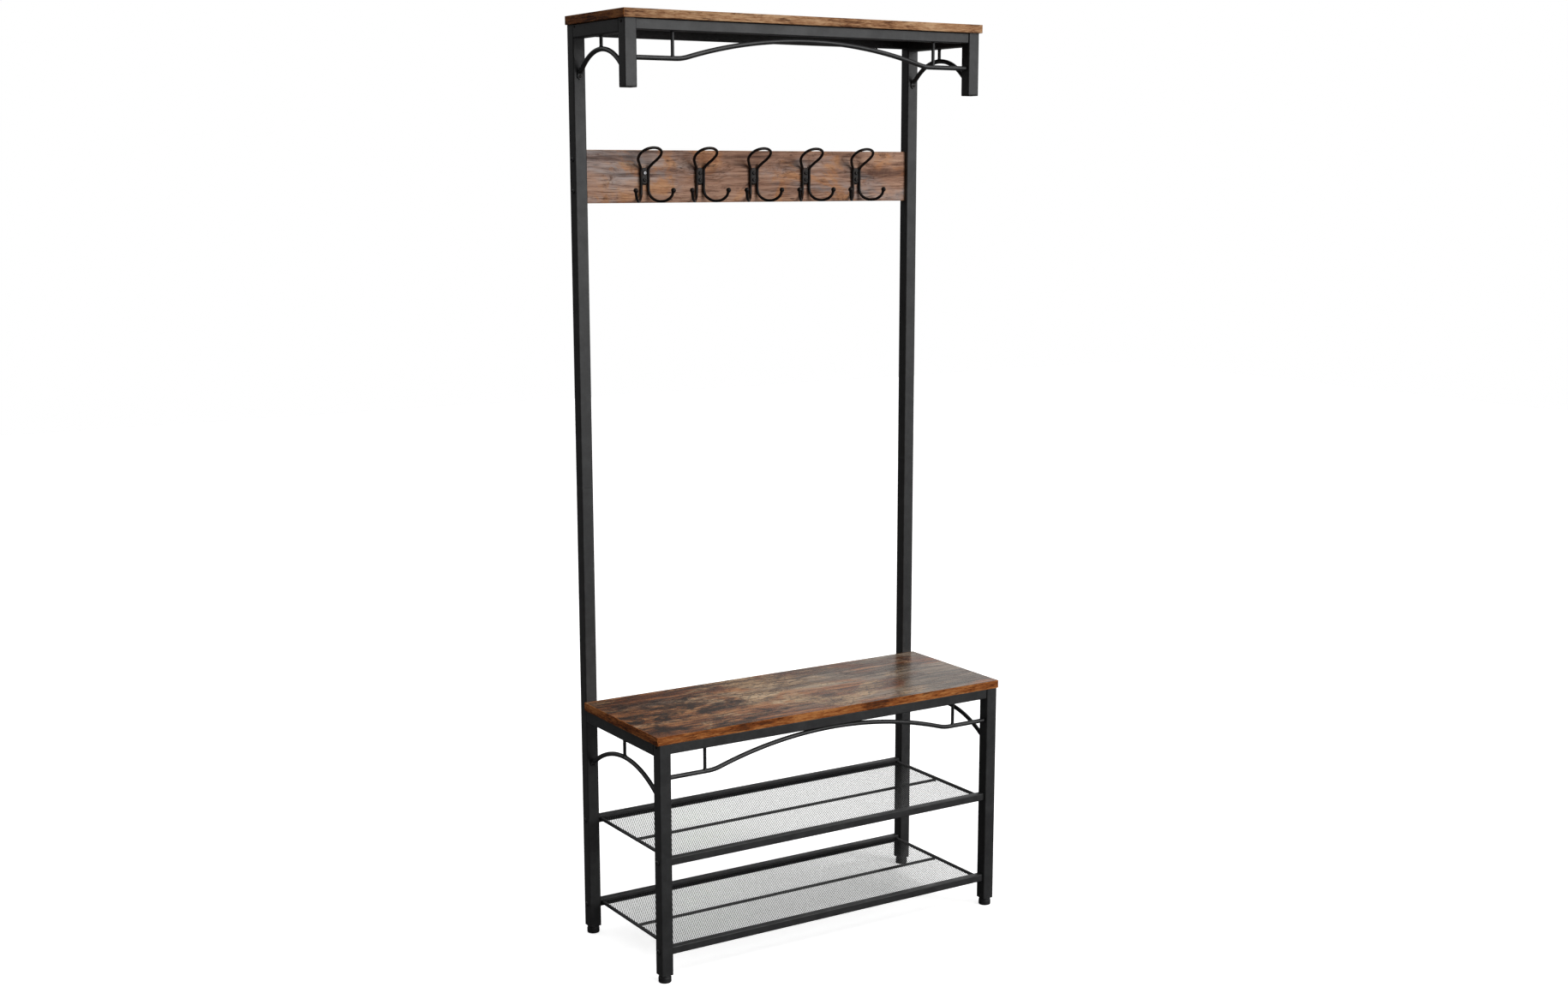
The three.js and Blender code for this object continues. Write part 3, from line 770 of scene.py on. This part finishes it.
CAP_RIM = ((0.0, 2.4, 1.4), (0.15, 1.5, 1.9), (0.55, 0.6, 2.3), (1.1, 0.1, 2.5), (2.3, 0.1, 2.5))
for side, _ in SIDES:
    node = f"post_cap_{side}"
    shell = Shell().loft(plug_rings(node, 2.5, CAP_RIM, 1.6))
    make(f"shelf_post_cap_{side}", shell, plastic, (node,))


# ---- boards

BAND = 0.8


def board_piece(name, node, axis, materials, flip=False):
    """A laminated board: its face looks along the axis, and tape covers its four edges."""
    low, high = node_box(node)
    index = "xyz".index(axis)
    order = {"z": (0, 1), "y": (2, 0)}[axis]
    width, depth = (high - low)[list(order)]
    back, face = low[index], high[index]
    if flip:
        back, face = face, back
    step = 1.0 if face > back else -1.0
    centre = (low + high) / 2
    centre[index] = 0.0
    corner_segments = 4

    def outline(inset, corner):
        return rounded_rect(width - 2 * inset, depth - 2 * inset, corner, corner_segments)

    stations = [
        (back, 1.0, 0.6),
        (back, BAND, 0.7),
        (back + 0.15 * step, 0.25, 1.1),
        (back + 0.4 * step, 0.0, 1.3),
        (face - 0.55 * step, 0.0, 1.3),
        (face - 0.22 * step, 0.14, 1.2),
        (face - 0.06 * step, 0.42, 1.0),
        (face, BAND, 0.7),
        (face - 0.05 * step, BAND + 0.05, 0.7),
        (face, BAND + 0.12, 0.7),
    ]
    rings = [lift(axis, outline(*shape), along, centre) for along, *shape in stations]
    if flip:
        rings.reverse()
    shell = Shell().loft(rings)
    sides = len(rings[0])
    layers = len(rings) - 1
    for layer in range(layers):
        if layer in (0, layers - 1):
            continue
        for j in range(sides):
            quarter, k = divmod(j, corner_segments + 1)
            crosses_v = k == corner_segments and quarter % 2 == 0
            shell.tags[layer * sides + j] = 1 if crosses_v == (axis == "z") else 2
    return make(name, shell, materials, (node,), sharp=50.0)


board_piece("top_shelf_board", "top_board", "z", [top_wood, top_band_x_painted_lighter, top_band_y_painted_darker])
board_piece("seat_board", "bench_board", "z", [bench_wood, bench_band_x, bench_band_y_painted_lighter])
board_piece("coat_rail_board", "hook_board", "y", [hook_wood, hook_band_x, hook_band_z], flip=True)


# ---- waved and arched rods

ROD = 4.5
STRUT = 3.25
WAVE = {"bend_x": 285.0, "bend": 90.0, "strut_x": 292.0}
WAVE_RISE = {"top_wave_rod": 39.5, "bench_wave_rod": 43.0}
ARCH_RISE = {"top": 45.0, "bench": 48.0}
ARCH = {"bow_points": 30, "bend_points": 9, "bend": 11.0, "pull": 0.42}
TAB = {"half_width": 5.5, "half_thick": 1.25, "round": 5.5}
TAB_SCREW = {"radius": 3.0, "height": 1.9}


def strut(shell, x, y, low, high):
    """A hanging rod with a weld fillet at each end."""
    profile = [
        (STRUT + 1.5, low + 1.2),
        (STRUT + 1.2, low + 3.4),
        (STRUT + 0.5, low + 4.7),
        (STRUT, low + 6.0),
        (STRUT, high - 2.6),
        (STRUT + 0.35, high - 1.5),
        (STRUT + 1.0, high - 0.5),
        (STRUT + 1.5, high - 0.05),
    ]
    turned(shell, (x, y, 0.0), (0, 0, 1), profile, 20, fan=False)


def wave_height(x, rise):
    """One long crown arc, a short bend on each side of it, and level ends."""
    bend_x, bend = WAVE["bend_x"], WAVE["bend"]
    both = (bend_x**2 / rise + rise) / 2
    crown = both - bend
    out = abs(x)
    if out < bend_x * crown / both:
        return rise - crown + math.sqrt(crown * crown - out * out)
    if out < bend_x:
        return bend - math.sqrt(bend * bend - (bend_x - out) ** 2)
    return 0.0


for name, node in (("shelf_wave_rod", "top_wave_rod"), ("seat_wave_rod", "bench_wave_rod")):
    low, high = node_box(node)
    half = (high[0] - low[0]) / 2
    y = (low[1] + high[1]) / 2
    base = low[2] + TAB["round"]
    xs = np.linspace(-half, half, 141)
    flare = np.array((0.0, 0.8, 1.8))
    xs = np.concatenate([flare - half, xs[1:-1], half - flare[::-1]])
    path = [(x, y, base + wave_height(x, WAVE_RISE[node])) for x in xs]
    halves = np.full((len(path), 2), ROD)
    for k, extra in ((0, 1.0), (1, 0.95), (2, 0.4)):
        halves[k] += extra
        halves[-1 - k] += extra
    shell = Shell()
    sweep(shell, path, halves, 18, side=(0.0, 1.0, 0.0))
    for _, sign in SIDES:
        strut(shell, sign * WAVE["strut_x"], y, base, high[2] + 0.3)
    make(name, shell, rod_coat, (node,), sharp=50.0)


def arch_piece(name, node):
    """A bow whose round bar flattens, as it bends down, to a rounded plate at each end."""
    low, high = node_box(node)
    x = (low[0] + high[0]) / 2
    middle = (low[1] + high[1]) / 2
    span = (high[1] - low[1]) / 2
    end_z = low[2] + TAB["round"]
    top = high[2] + 0.3
    rise = ARCH_RISE[node.split("_")[0]]
    radius = ((span + 1.0) ** 2 + rise**2) / (2 * rise)
    meet = math.asin((span - ARCH["bend"]) / radius)
    angles = np.linspace(0.0, meet, ARCH["bow_points"])
    half = [(radius * math.sin(a), end_z + rise - radius * (1 - math.cos(a))) for a in angles]
    start = np.array(half[-1])
    slope = np.array((math.cos(meet), -math.sin(meet)))
    plate_y = span - TAB["half_thick"]
    goal = np.array((plate_y, end_z + 4.0))
    pull = np.linalg.norm(goal - start) * ARCH["pull"]
    a, b = start + slope * pull, goal + np.array((0.0, pull))
    for t in np.linspace(0, 1, ARCH["bend_points"])[1:]:
        s = 1 - t
        half.append(tuple(s**3 * start + 3 * s * s * t * a + 3 * s * t * t * b + t**3 * goal))
    bend_count = len(half)
    for z in (3.0, 1.5, 0.0, -1.5, -3.0, -4.2, -5.0, -5.4, -5.5):
        half.append((plate_y, end_z + z))
    half = np.array(half)
    bow_count = ARCH["bow_points"]
    halves, square = [], []
    for i, (_, z) in enumerate(half):
        t = min(max((i - bow_count + 1) / (bend_count - bow_count), 0.0), 1.0)
        t = t * t * (3 - 2 * t)
        across = ROD + (TAB["half_width"] - ROD) * t
        depth = ROD + (TAB["half_thick"] - ROD) * t
        below = max(end_z - z, 0.0) if i >= bend_count else 0.0
        across *= math.sqrt(max(1 - (below / TAB["round"]) ** 2, 0.02))
        halves.append((across, depth))
        square.append(1.0 - 0.55 * t)
    path = [(x, middle - y, z) for y, z in half[::-1]] + [(x, middle + y, z) for y, z in half[1:]]
    halves = halves[::-1] + halves[1:]
    square = square[::-1] + square[1:]
    shell = Shell()
    sweep(shell, path, np.array(halves), 20, side=(1.0, 0.0, 0.0), squareness=square)
    strut(shell, x, middle, end_z + rise, top)
    make(name, shell, rod_coat, (node,), sharp=50.0)
    screws = Shell()
    for s in (-1, 1):
        seat = (x, middle + s * (span - 2 * TAB["half_thick"] - 0.05), end_z)
        pan_head(screws, seat, (0, -s, 0), **TAB_SCREW)
    make(f"{name}_screws", screws, dark_zinc, sharp=45.0)


for side, _ in SIDES:
    arch_piece(f"shelf_arch_{side}", f"top_arch_{side}")
    arch_piece(f"seat_arch_{side}", f"bench_arch_{side}")


# ---- mesh shelves

# The panel's ends run on past its solid, to where they are welded to the end rods.
MESH = {"short": 4.0, "long": 10.2, "width": 1.25, "thick": 0.26, "weld": 3.5}
MESH_TILT = math.radians(-13.0)
SHELF_BOLT = {"radius": 5.5, "height": 3.0, "socket": 4.0, "shank": 6.0, "length": 35.0}
# How each rod widens to its welds: the distance in from its end, and the radius there.
END_ROD = ((-0.2, 5.0), (0.5, 4.7), (1.4, 3.9), (2.6, 3.5))
MIDDLE_ROD = ((-0.2, 4.2), (0.9, 3.6), (2.2, 3.0))
# The end rod's place in from the frame's end, the middle rod's end inside that, and its gap
# under the panel.
RACK = {"end_rod": 6.5, "middle_rod": 3.0, "gap": 0.3}


def welded_rod(shell, start, end, fillet, sides, side):
    """A straight round rod that widens to a weld at each end."""
    start, end = np.array(start), np.array(end)
    way = (end - start) / np.linalg.norm(end - start)
    path = [start + way * inward for inward, _ in fillet]
    path += [end - way * inward for inward, _ in reversed(fillet)]
    radii = [radius for _, radius in fillet + fillet[::-1]]
    sweep(shell, path, np.stack([radii, radii], axis=1), sides, side)


def shelf_frame(level):
    node = f"{level}_shelf_frame"
    low, high = node_box(node)
    panel_low, _ = node_box(f"{level}_shelf_mesh")
    size = SHELF_RAIL["size"]
    z = (low[2] + high[2]) / 2
    shell = Shell()
    for y in (low[1] + size / 2, high[1] - size / 2):
        square_tube(shell, "x", SHELF_RAIL, low[0], high[0], (0.0, y, z))
    side_x = high[0] - RACK["end_rod"]
    for sign in (-1, 1):
        front, rear = ((sign * side_x, y, z) for y in (low[1] + size, high[1] - size))
        welded_rod(shell, front, rear, END_ROD, 18, (1.0, 0.0, 0.0))
    ends = side_x - RACK["middle_rod"]
    under = panel_low[2] - RACK["gap"] - MIDDLE_ROD[-1][1]
    left, right = ((x, (low[1] + high[1]) / 2, under) for x in (-ends, ends))
    welded_rod(shell, left, right, MIDDLE_ROD, 16, (0.0, 1.0, 0.0))
    make(f"{level}_rack_frame", shell, steel_coat, (node,))


def expanded_metal(level):
    """Diamond mesh: pairs of zigzag strands that meet at every bond."""
    node = f"{level}_shelf_mesh"
    low, high = node_box(node)
    low[0] -= MESH["weld"]
    high[0] += MESH["weld"]
    columns = round((high[0] - low[0]) / MESH["short"])
    pitch = (high[0] - low[0]) / columns
    halves = 2 * round((high[1] - low[1]) / MESH["long"])
    ys = np.linspace(low[1], high[1], halves + 1)
    zig = np.where(np.arange(halves + 1) % 2 == 0, 0.0, pitch / 2)
    z = (low[2] + high[2]) / 2
    w, t = MESH["width"] / 2, MESH["thick"] / 2
    flat = np.array([(-w, -t), (w, -t), (w, t), (-w, t)])
    cos, sin = math.cos(MESH_TILT), math.sin(MESH_TILT)
    corners = flat @ np.array([(cos, sin), (-sin, cos)])
    shell = Shell()
    for direction, first in ((1, 0), (-1, 1)):
        for k in range(first, first + columns):
            xs = low[0] + k * pitch + direction * zig
            level_z = z + 0.02 * direction
            grid = np.empty((len(ys), 4, 3))
            grid[:, :, 0] = xs[:, None] + corners[None, :, 0]
            grid[:, :, 1] = ys[:, None]
            grid[:, :, 2] = level_z + corners[None, :, 1]
            start = shell.take(grid)
            for i in range(halves):
                a, b = start + 4 * i, start + 4 * i + 4
                for j in range(4):
                    m = (j + 1) % 4
                    shell.face((a + j, b + j, b + m, a + m))
            shell.face((start, start + 1, start + 2, start + 3))
            end = start + 4 * halves
            shell.face((end + 3, end + 2, end + 1, end))
    make(f"{level}_rack_mesh", shell, mesh_coat, (node,), sharp=20.0, weighted=False)


for level in ("upper", "lower"):
    shelf_frame(level)
    expanded_metal(level)
    for corner in CORNERS:
        node = f"{level}_shelf_bolt_{corner}"
        low, high = node_box(node)
        sign = 1 if low[0] > 0 else -1
        outer = high[0] if sign > 0 else low[0]
        _, y, z = (low + high) / 2
        origin = (outer - sign * SHELF_BOLT["height"], y, z)
        shell = button_head(Shell(), origin, (sign, 0, 0), **SHELF_BOLT)
        make(f"{level}_rack_bolt_{corner}", shell, bolt_coat, (node,), sharp=42.0)


# ---- hooks

HOOK = {
    "wire": 2.75,
    "half_gap": 8.0,
    "neck": 65.0,  # heights over the underside of the hook board
    "bend": 24.0,
    "upper_screw": 56.5,
    "lower_screw": 43.5,
    "plate_bottom": 34.0,
    "drop": 21.0,
    "reach": 51.5,
    "splay": math.atan2(33, 40),
    "ball": 4.8,
}
# Half of the loop, from its tip down: to the side, out from the board, and up from the neck.
HOOK_LOOP = ((0, 42, 39), (11.5, 40, 37.3), (19.5, 35, 33))
HOOK_LOOP += ((23, 26.5, 26), (21, 16.5, 18), (14, 8, 9))
PLATE_FRONT = 3.3  # the mounting plate's front face, out from the board
HOOK_SCREW = {"radius": 3.6, "height": 2.4, "shank": 3.5, "length": 16.0}


def hook_half(face_y, bottom):
    """The wire's centre line on one side: half the loop, down the neck, and out along a prong."""
    back = HOOK["wire"] + 0.3
    points = [(x, face_y - out, bottom + HOOK["neck"] + up) for x, out, up in HOOK_LOOP]
    gap, neck, bend = HOOK["half_gap"], bottom + HOOK["neck"], bottom + HOOK["bend"]
    points.append((gap + 0.6, face_y - back - 0.6, neck + 1))
    points.append((gap, face_y - back, neck - 10))
    points.append((gap, face_y - back, (neck + bend) / 2))
    for i in range(7):
        angle = math.pi * i / 6
        run = HOOK["reach"] / 2 * (1 - math.cos(angle))
        side = gap + run * math.sin(HOOK["splay"])
        forward = back + run * math.cos(HOOK["splay"])
        points.append((side, face_y - forward, bend - HOOK["drop"] * math.sin(angle)))
    return points


def hook_piece(index):
    node = f"hook_{index}"
    low, high = node_box(node)
    board_low, _ = node_box("hook_board")
    x = (low[0] + high[0]) / 2
    face_y, bottom = board_low[1], board_low[2]
    half = hook_half(face_y, bottom)
    points = [(-p[0], p[1], p[2]) for p in half[:0:-1]] + half
    path = smoothed(points, 7) + np.array((x, 0.0, 0.0))
    shell = Shell()
    sweep(shell, path, (HOOK["wire"], HOOK["wire"]), 16, side=(1.0, 0.0, 0.0))
    for end, before in ((path[0], path[3]), (path[-1], path[-4])):
        direction = (end - before) / np.linalg.norm(end - before)
        r = HOOK["ball"]
        profile = [(HOOK["wire"] + 0.25, -r - 1.2), (HOOK["wire"] + 0.1, -r - 0.2)]
        for a in np.linspace(math.pi * 0.88, 0.0, 13)[:-1]:
            if r * math.sin(a) > 2.9 or math.cos(a) > 0:
                profile.append((r * math.sin(a), r * math.cos(a)))
        turned(shell, end, direction, profile + [(0.2, r)], 24)
    plate_bottom = bottom + HOOK["plate_bottom"]
    plate_top = bottom + HOOK["neck"] + 2.0
    width = 2 * HOOK["half_gap"] - 0.4

    def tongue(inset, depth):
        r = width / 2 - inset
        outline = []
        for k in range(13):
            a = math.pi + math.pi * k / 12
            outline.append((r * math.cos(a), plate_bottom + width / 2 + r * math.sin(a)))
        for k in range(7):
            a = math.pi * k / 6
            rise = plate_top - 4.5 - inset * 0.3 + 4.5 * math.sin(a)
            outline.append((r * 0.86 * math.cos(a), rise))
        return np.array([(x + u, face_y - depth, v) for u, v in outline])

    layers = [(0.4, 0.3), (0.0, 0.6), (0.0, 2.0), (0.25, 2.6), (0.8, 3.0), (1.8, 3.2)]
    layers.append((3.6, PLATE_FRONT))
    shell.loft([tongue(inset, depth) for inset, depth in layers])
    make(f"coat_hook_{index}", shell, hook_coat, (node,), sharp=55.0)

    def screw(piece, height, finish, replaced=()):
        seat = (x, face_y - PLATE_FRONT, bottom + HOOK[height])
        head = pan_head(Shell(), seat, (0, -1, 0), **HOOK_SCREW)
        make(f"{piece}_{index}", head, finish, replaced, sharp=42.0)

    finish = zinc if index == 1 else dark_zinc
    screw("coat_hook_screw", "upper_screw", finish, (f"hook_screw_{index}",))
    screw("coat_hook_lower_screw", "lower_screw", dark_zinc)


for index in range(1, 6):
    hook_piece(index)


# ---- feet

FOOT = {"flange": 3.0, "bore": 4.3}
THREAD = {"root": 3.35, "crest": 3.95, "pitch": 1.25, "start": 14.5, "steps": 20}
# The foot's pad from the floor up: radius and height.
FOOT_PAD = ((8.5, 1.1), (9.3, 0.15), (10.8, 0.0), (11.7, 0.25), (12.3, 0.9), (12.5, 1.9))
FOOT_PAD += ((12.5, 9.4), (12.3, 10.3), (11.9, 10.8), (11.45, 11.0), (11.2, 11.25))
FOOT_PAD += ((11.15, 11.7), (11.45, 12.0), (11.6, 12.4), (11.6, 13.9), (11.3, 14.6))
FOOT_PAD += ((10.7, 14.95), (4.1, 15.0))
SOCKET_RIM = ((0.0, 1.2, 2.0), (0.4, 0.1, 2.4), (0.9, 0.0, 2.5), (2.75, 0.0, 2.5))


def foot_socket(corner):
    """The plastic plug in a leg's end, bored for the foot's stem."""
    node = f"foot_socket_{corner}"
    low, high = node_box(node)
    rings = plug_rings(node, FOOT["flange"], SOCKET_RIM, 1.2)
    centre = (low + high) / 2
    centre[2] = 0.0
    size = POST["size"]
    angles = [math.atan2(v, u) for u, v in rounded_rect(size, size, 2.5)]
    hole = FOOT["bore"] * np.array([(math.cos(a), math.sin(a)) for a in angles])
    rings += [lift("z", hole, z, centre) for z in (high[2], low[2])]
    shell = Shell().loft(rings, closed=True)
    make(f"leg_socket_{corner}", shell, plastic, (node,))


def levelling_foot(corner):
    """The pad, and the threaded stem as one ridge wound round a core."""
    node = f"levelling_foot_{corner}"
    low, high = node_box(node)
    centre = (low + high) / 2
    origin = (centre[0], centre[1], low[2])
    body = f"foot_{corner}"
    shell = turned(Shell(), origin, (0, 0, 1), FOOT_PAD, 48)
    make(f"foot_pad_{corner}", shell, plastic, (node,), body)
    stem = Shell()
    root, crest, pitch, start_z, steps = THREAD.values()
    end_z = high[2] - low[2]
    turns = (end_z - start_z - 2.0) / pitch
    profile = ((root, 0.0), (crest, 0.42), (crest, 0.62), (root, 1.04))
    total = int(turns * steps)
    grid = []
    for i in range(total + 1):
        angle = 2 * math.pi * i / steps
        z = start_z + pitch * i / steps
        for r, rise in profile:
            x, y = origin[0] + r * math.cos(angle), origin[1] + r * math.sin(angle)
            grid.append((x, y, low[2] + z + rise * pitch))
    first = stem.take(grid)
    for i in range(total):
        for j in range(3):
            a = first + 4 * i + j
            stem.face((a, a + 4, a + 5, a + 1))
    core = [(3.3, start_z - 0.5), (3.38, start_z), (3.38, end_z - 0.9), (2.4, end_z)]
    turned(stem, origin, (0, 0, 1), core, 24)
    make(f"foot_stem_{corner}", stem, zinc, (), body, sharp=30.0, weighted=False)


for corner in CORNERS:
    foot_socket(corner)
    levelling_foot(corner)


# ---- small fasteners

BOARD_BOLT_RISES = (81.5, 22.5)  # over the underside of the hook board
BOARD_BOLT = {"radius": 4.5, "height": 2.6, "socket": 3.4}
FRAME_SCREW = {"radius": 2.6, "height": 1.5}
SMALL_SCREW = {"radius": 2.2, "height": 1.2}
ANCHOR_XS = (294.2, 299.8)
KNOB = ((2.0, 0.0), (2.0, 2.0), (1.7, 2.7), (1.0, 3.0))

upright_low, upright_high = node_box("upper_upright_left")
outer_x = -upright_low[0]
top_under = upright_high[2]
post_low, post_high = node_box("top_post_left")
post_y = (post_low[1] + post_high[1]) / 2
leg_low, leg_high = node_box("front_leg_left")
leg_y = (leg_low[1] + leg_high[1]) / 2
board_low, _ = node_box("hook_board")
for side, sign in SIDES:
    heads = Shell()
    for y, z, screw in (
        (post_y, top_under - 6.0, FRAME_SCREW),
        (upright_low[1] - 6.5, top_under - 4.5, SMALL_SCREW),
        (leg_y, leg_high[2] - 5.5, FRAME_SCREW),
    ):
        pan_head(heads, (sign * outer_x, y, z), (sign, 0, 0), **screw)
    make(f"frame_screws_{side}", heads, dark_zinc, sharp=42.0)
    bolts = Shell()
    for rise in BOARD_BOLT_RISES:
        origin = (sign * outer_x, board_low[1] + 3.0, board_low[2] + rise)
        button_head(bolts, origin, (sign, 0, 0), **BOARD_BOLT)
    make(f"hook_board_bolts_{side}", bolts, bolt_coat, sharp=42.0)

rail_low, rail_high = node_box("top_rear_rail")
knobs = Shell()
for x in ANCHOR_XS:
    origin = (x, (rail_low[1] + rail_high[1]) / 2, rail_low[2] + 0.1)
    turned(knobs, origin, (0, 0, -1), KNOB, 16)
make("wall_strap_anchor", knobs, bolt_coat)

for side, _ in SIDES:
    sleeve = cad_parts[f"upright_sleeve_{side}"]
    sleeve.data.materials.clear()
    sleeve.data.materials.append(zinc)


# ---- stage, light and camera

ground = CAD_BOX[0].z
floor_mesh = bpy.data.meshes.new("floor")
reach = 9.0
corners = ((-reach, -reach), (reach, -reach), (reach, reach), (-reach, reach))
floor_mesh.from_pydata([(*corner, ground) for corner in corners], [], [(0, 1, 2, 3)])
floor = bpy.data.objects.new("floor", floor_mesh)
bpy.context.scene.collection.objects.link(floor)
floor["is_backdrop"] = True
g = Graph("pale_floor")
pale = g.mix(g.noise(g.position, 3.0, 3.0), (0.90, 0.90, 0.895), (0.93, 0.93, 0.93))
floor_lit = g.add("ShaderNodeBsdfDiffuse", pale).outputs[0]
floor_glow = g.add("ShaderNodeEmission", (1.0, 1.0, 1.0), 0.72).outputs[0]
floor_seen = g.add("ShaderNodeAddShader", floor_lit, floor_glow).outputs[0]
# What the object receives from the floor is much less than what the camera sees.
floor_dim = g.add("ShaderNodeBsdfDiffuse", (0.13, 0.13, 0.13)).outputs[0]
camera_ray = g.add("ShaderNodeLightPath").outputs["Is Camera Ray"]
which = g.add("ShaderNodeMixShader", camera_ray, floor_dim, floor_seen)
g.add("ShaderNodeOutputMaterial", which.outputs[0])
floor_mesh.materials.append(g.material)

world = bpy.data.worlds.new("studio")
bpy.context.scene.world = world
world.use_nodes = True
w = Nodes(world.node_tree)
direction = w.add("ShaderNodeTexCoord").outputs["Generated"]


def lobe(vector, edge, core, radiance):
    """A soft bright area of the studio: the cosines where it ends and where it is fullest."""
    aim = Vector(vector).normalized()
    facing = w.add("ShaderNodeVectorMath", direction, aim, operation="DOT_PRODUCT")
    return w.smooth(facing.outputs["Value"], edge, core, 0.0, radiance)


lobes = (
    lobe((0.34, -0.89, 0.27), 0.85, 1.0, 3.25),
    lobe((0.79, 0.57, 0.22), 0.88, 0.99, 0.95),
    lobe((0.10, -0.25, 1.0), 0.55, 0.98, 0.85),
    lobe((1.0, -0.15, 0.15), 0.45, 0.98, 0.40),
    lobe((-0.35, 0.75, 0.60), 0.80, 1.0, 0.70),
    lobe((-1.0, -0.25, 0.25), 0.40, 1.0, 0.11),
)
total = 0.03
for one in lobes:
    total = w.maths("ADD", one, total)
camera_ray = w.add("ShaderNodeLightPath").outputs["Is Camera Ray"]
strength = w.add("ShaderNodeMix", camera_ray, data_type="FLOAT")
w.put(strength.inputs[2], total)
w.put(strength.inputs[3], 1.0)
background = w.add("ShaderNodeBackground", (1.0, 1.0, 1.0), strength.outputs[0])
w.add("ShaderNodeOutputWorld", background.outputs[0])

key_data = bpy.data.lights.new("key_softbox", "AREA")
key_data.shape = "RECTANGLE"
key_data.size, key_data.size_y = 0.65, 0.75
key_data.energy = 36.0
key = bpy.data.objects.new("key_softbox", key_data)
bpy.context.scene.collection.objects.link(key)
away = Vector((0.57, -0.67, 0.49)).normalized()
key.location = Vector((0.0, 0.0, 1.35)) + away * 3.0
key.rotation_mode = "QUATERNION"
key.rotation_quaternion = (-away).to_track_quat("-Z", "Y")
key.visible_camera = False
key.visible_glossy = False

camera_data = bpy.data.cameras.new("camera")
camera = bpy.data.objects.new("camera", camera_data)
bpy.context.scene.collection.objects.link(camera)
bpy.context.scene.camera = camera
EYE = (-2.08262, -3.26844, 1.50621)
YAW, PITCH, ROLL = 0.562937, -0.184156, -0.0010117
level = math.cos(PITCH)
forward = Vector((math.sin(YAW) * level, math.cos(YAW) * level, math.sin(PITCH)))
level_right = Vector((math.cos(YAW), -math.sin(YAW), 0.0))
level_up = level_right.cross(forward)
right = level_right * math.cos(ROLL) + level_up * math.sin(ROLL)
up = level_up * math.cos(ROLL) - level_right * math.sin(ROLL)
turn = Matrix((right, up, -forward)).transposed().to_4x4()
camera.matrix_world = Matrix.Translation(EYE) @ turn
camera_data.sensor_fit = "HORIZONTAL"
camera_data.sensor_width = 36.0
camera_data.lens = 45.363482
camera_data.shift_y = 0.0324208
camera_data.clip_start, camera_data.clip_end = 0.1, 60.0

bpy.context.scene.view_settings.view_transform = "Standard"
bpy.context.scene.view_settings.look = "None"

low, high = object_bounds()
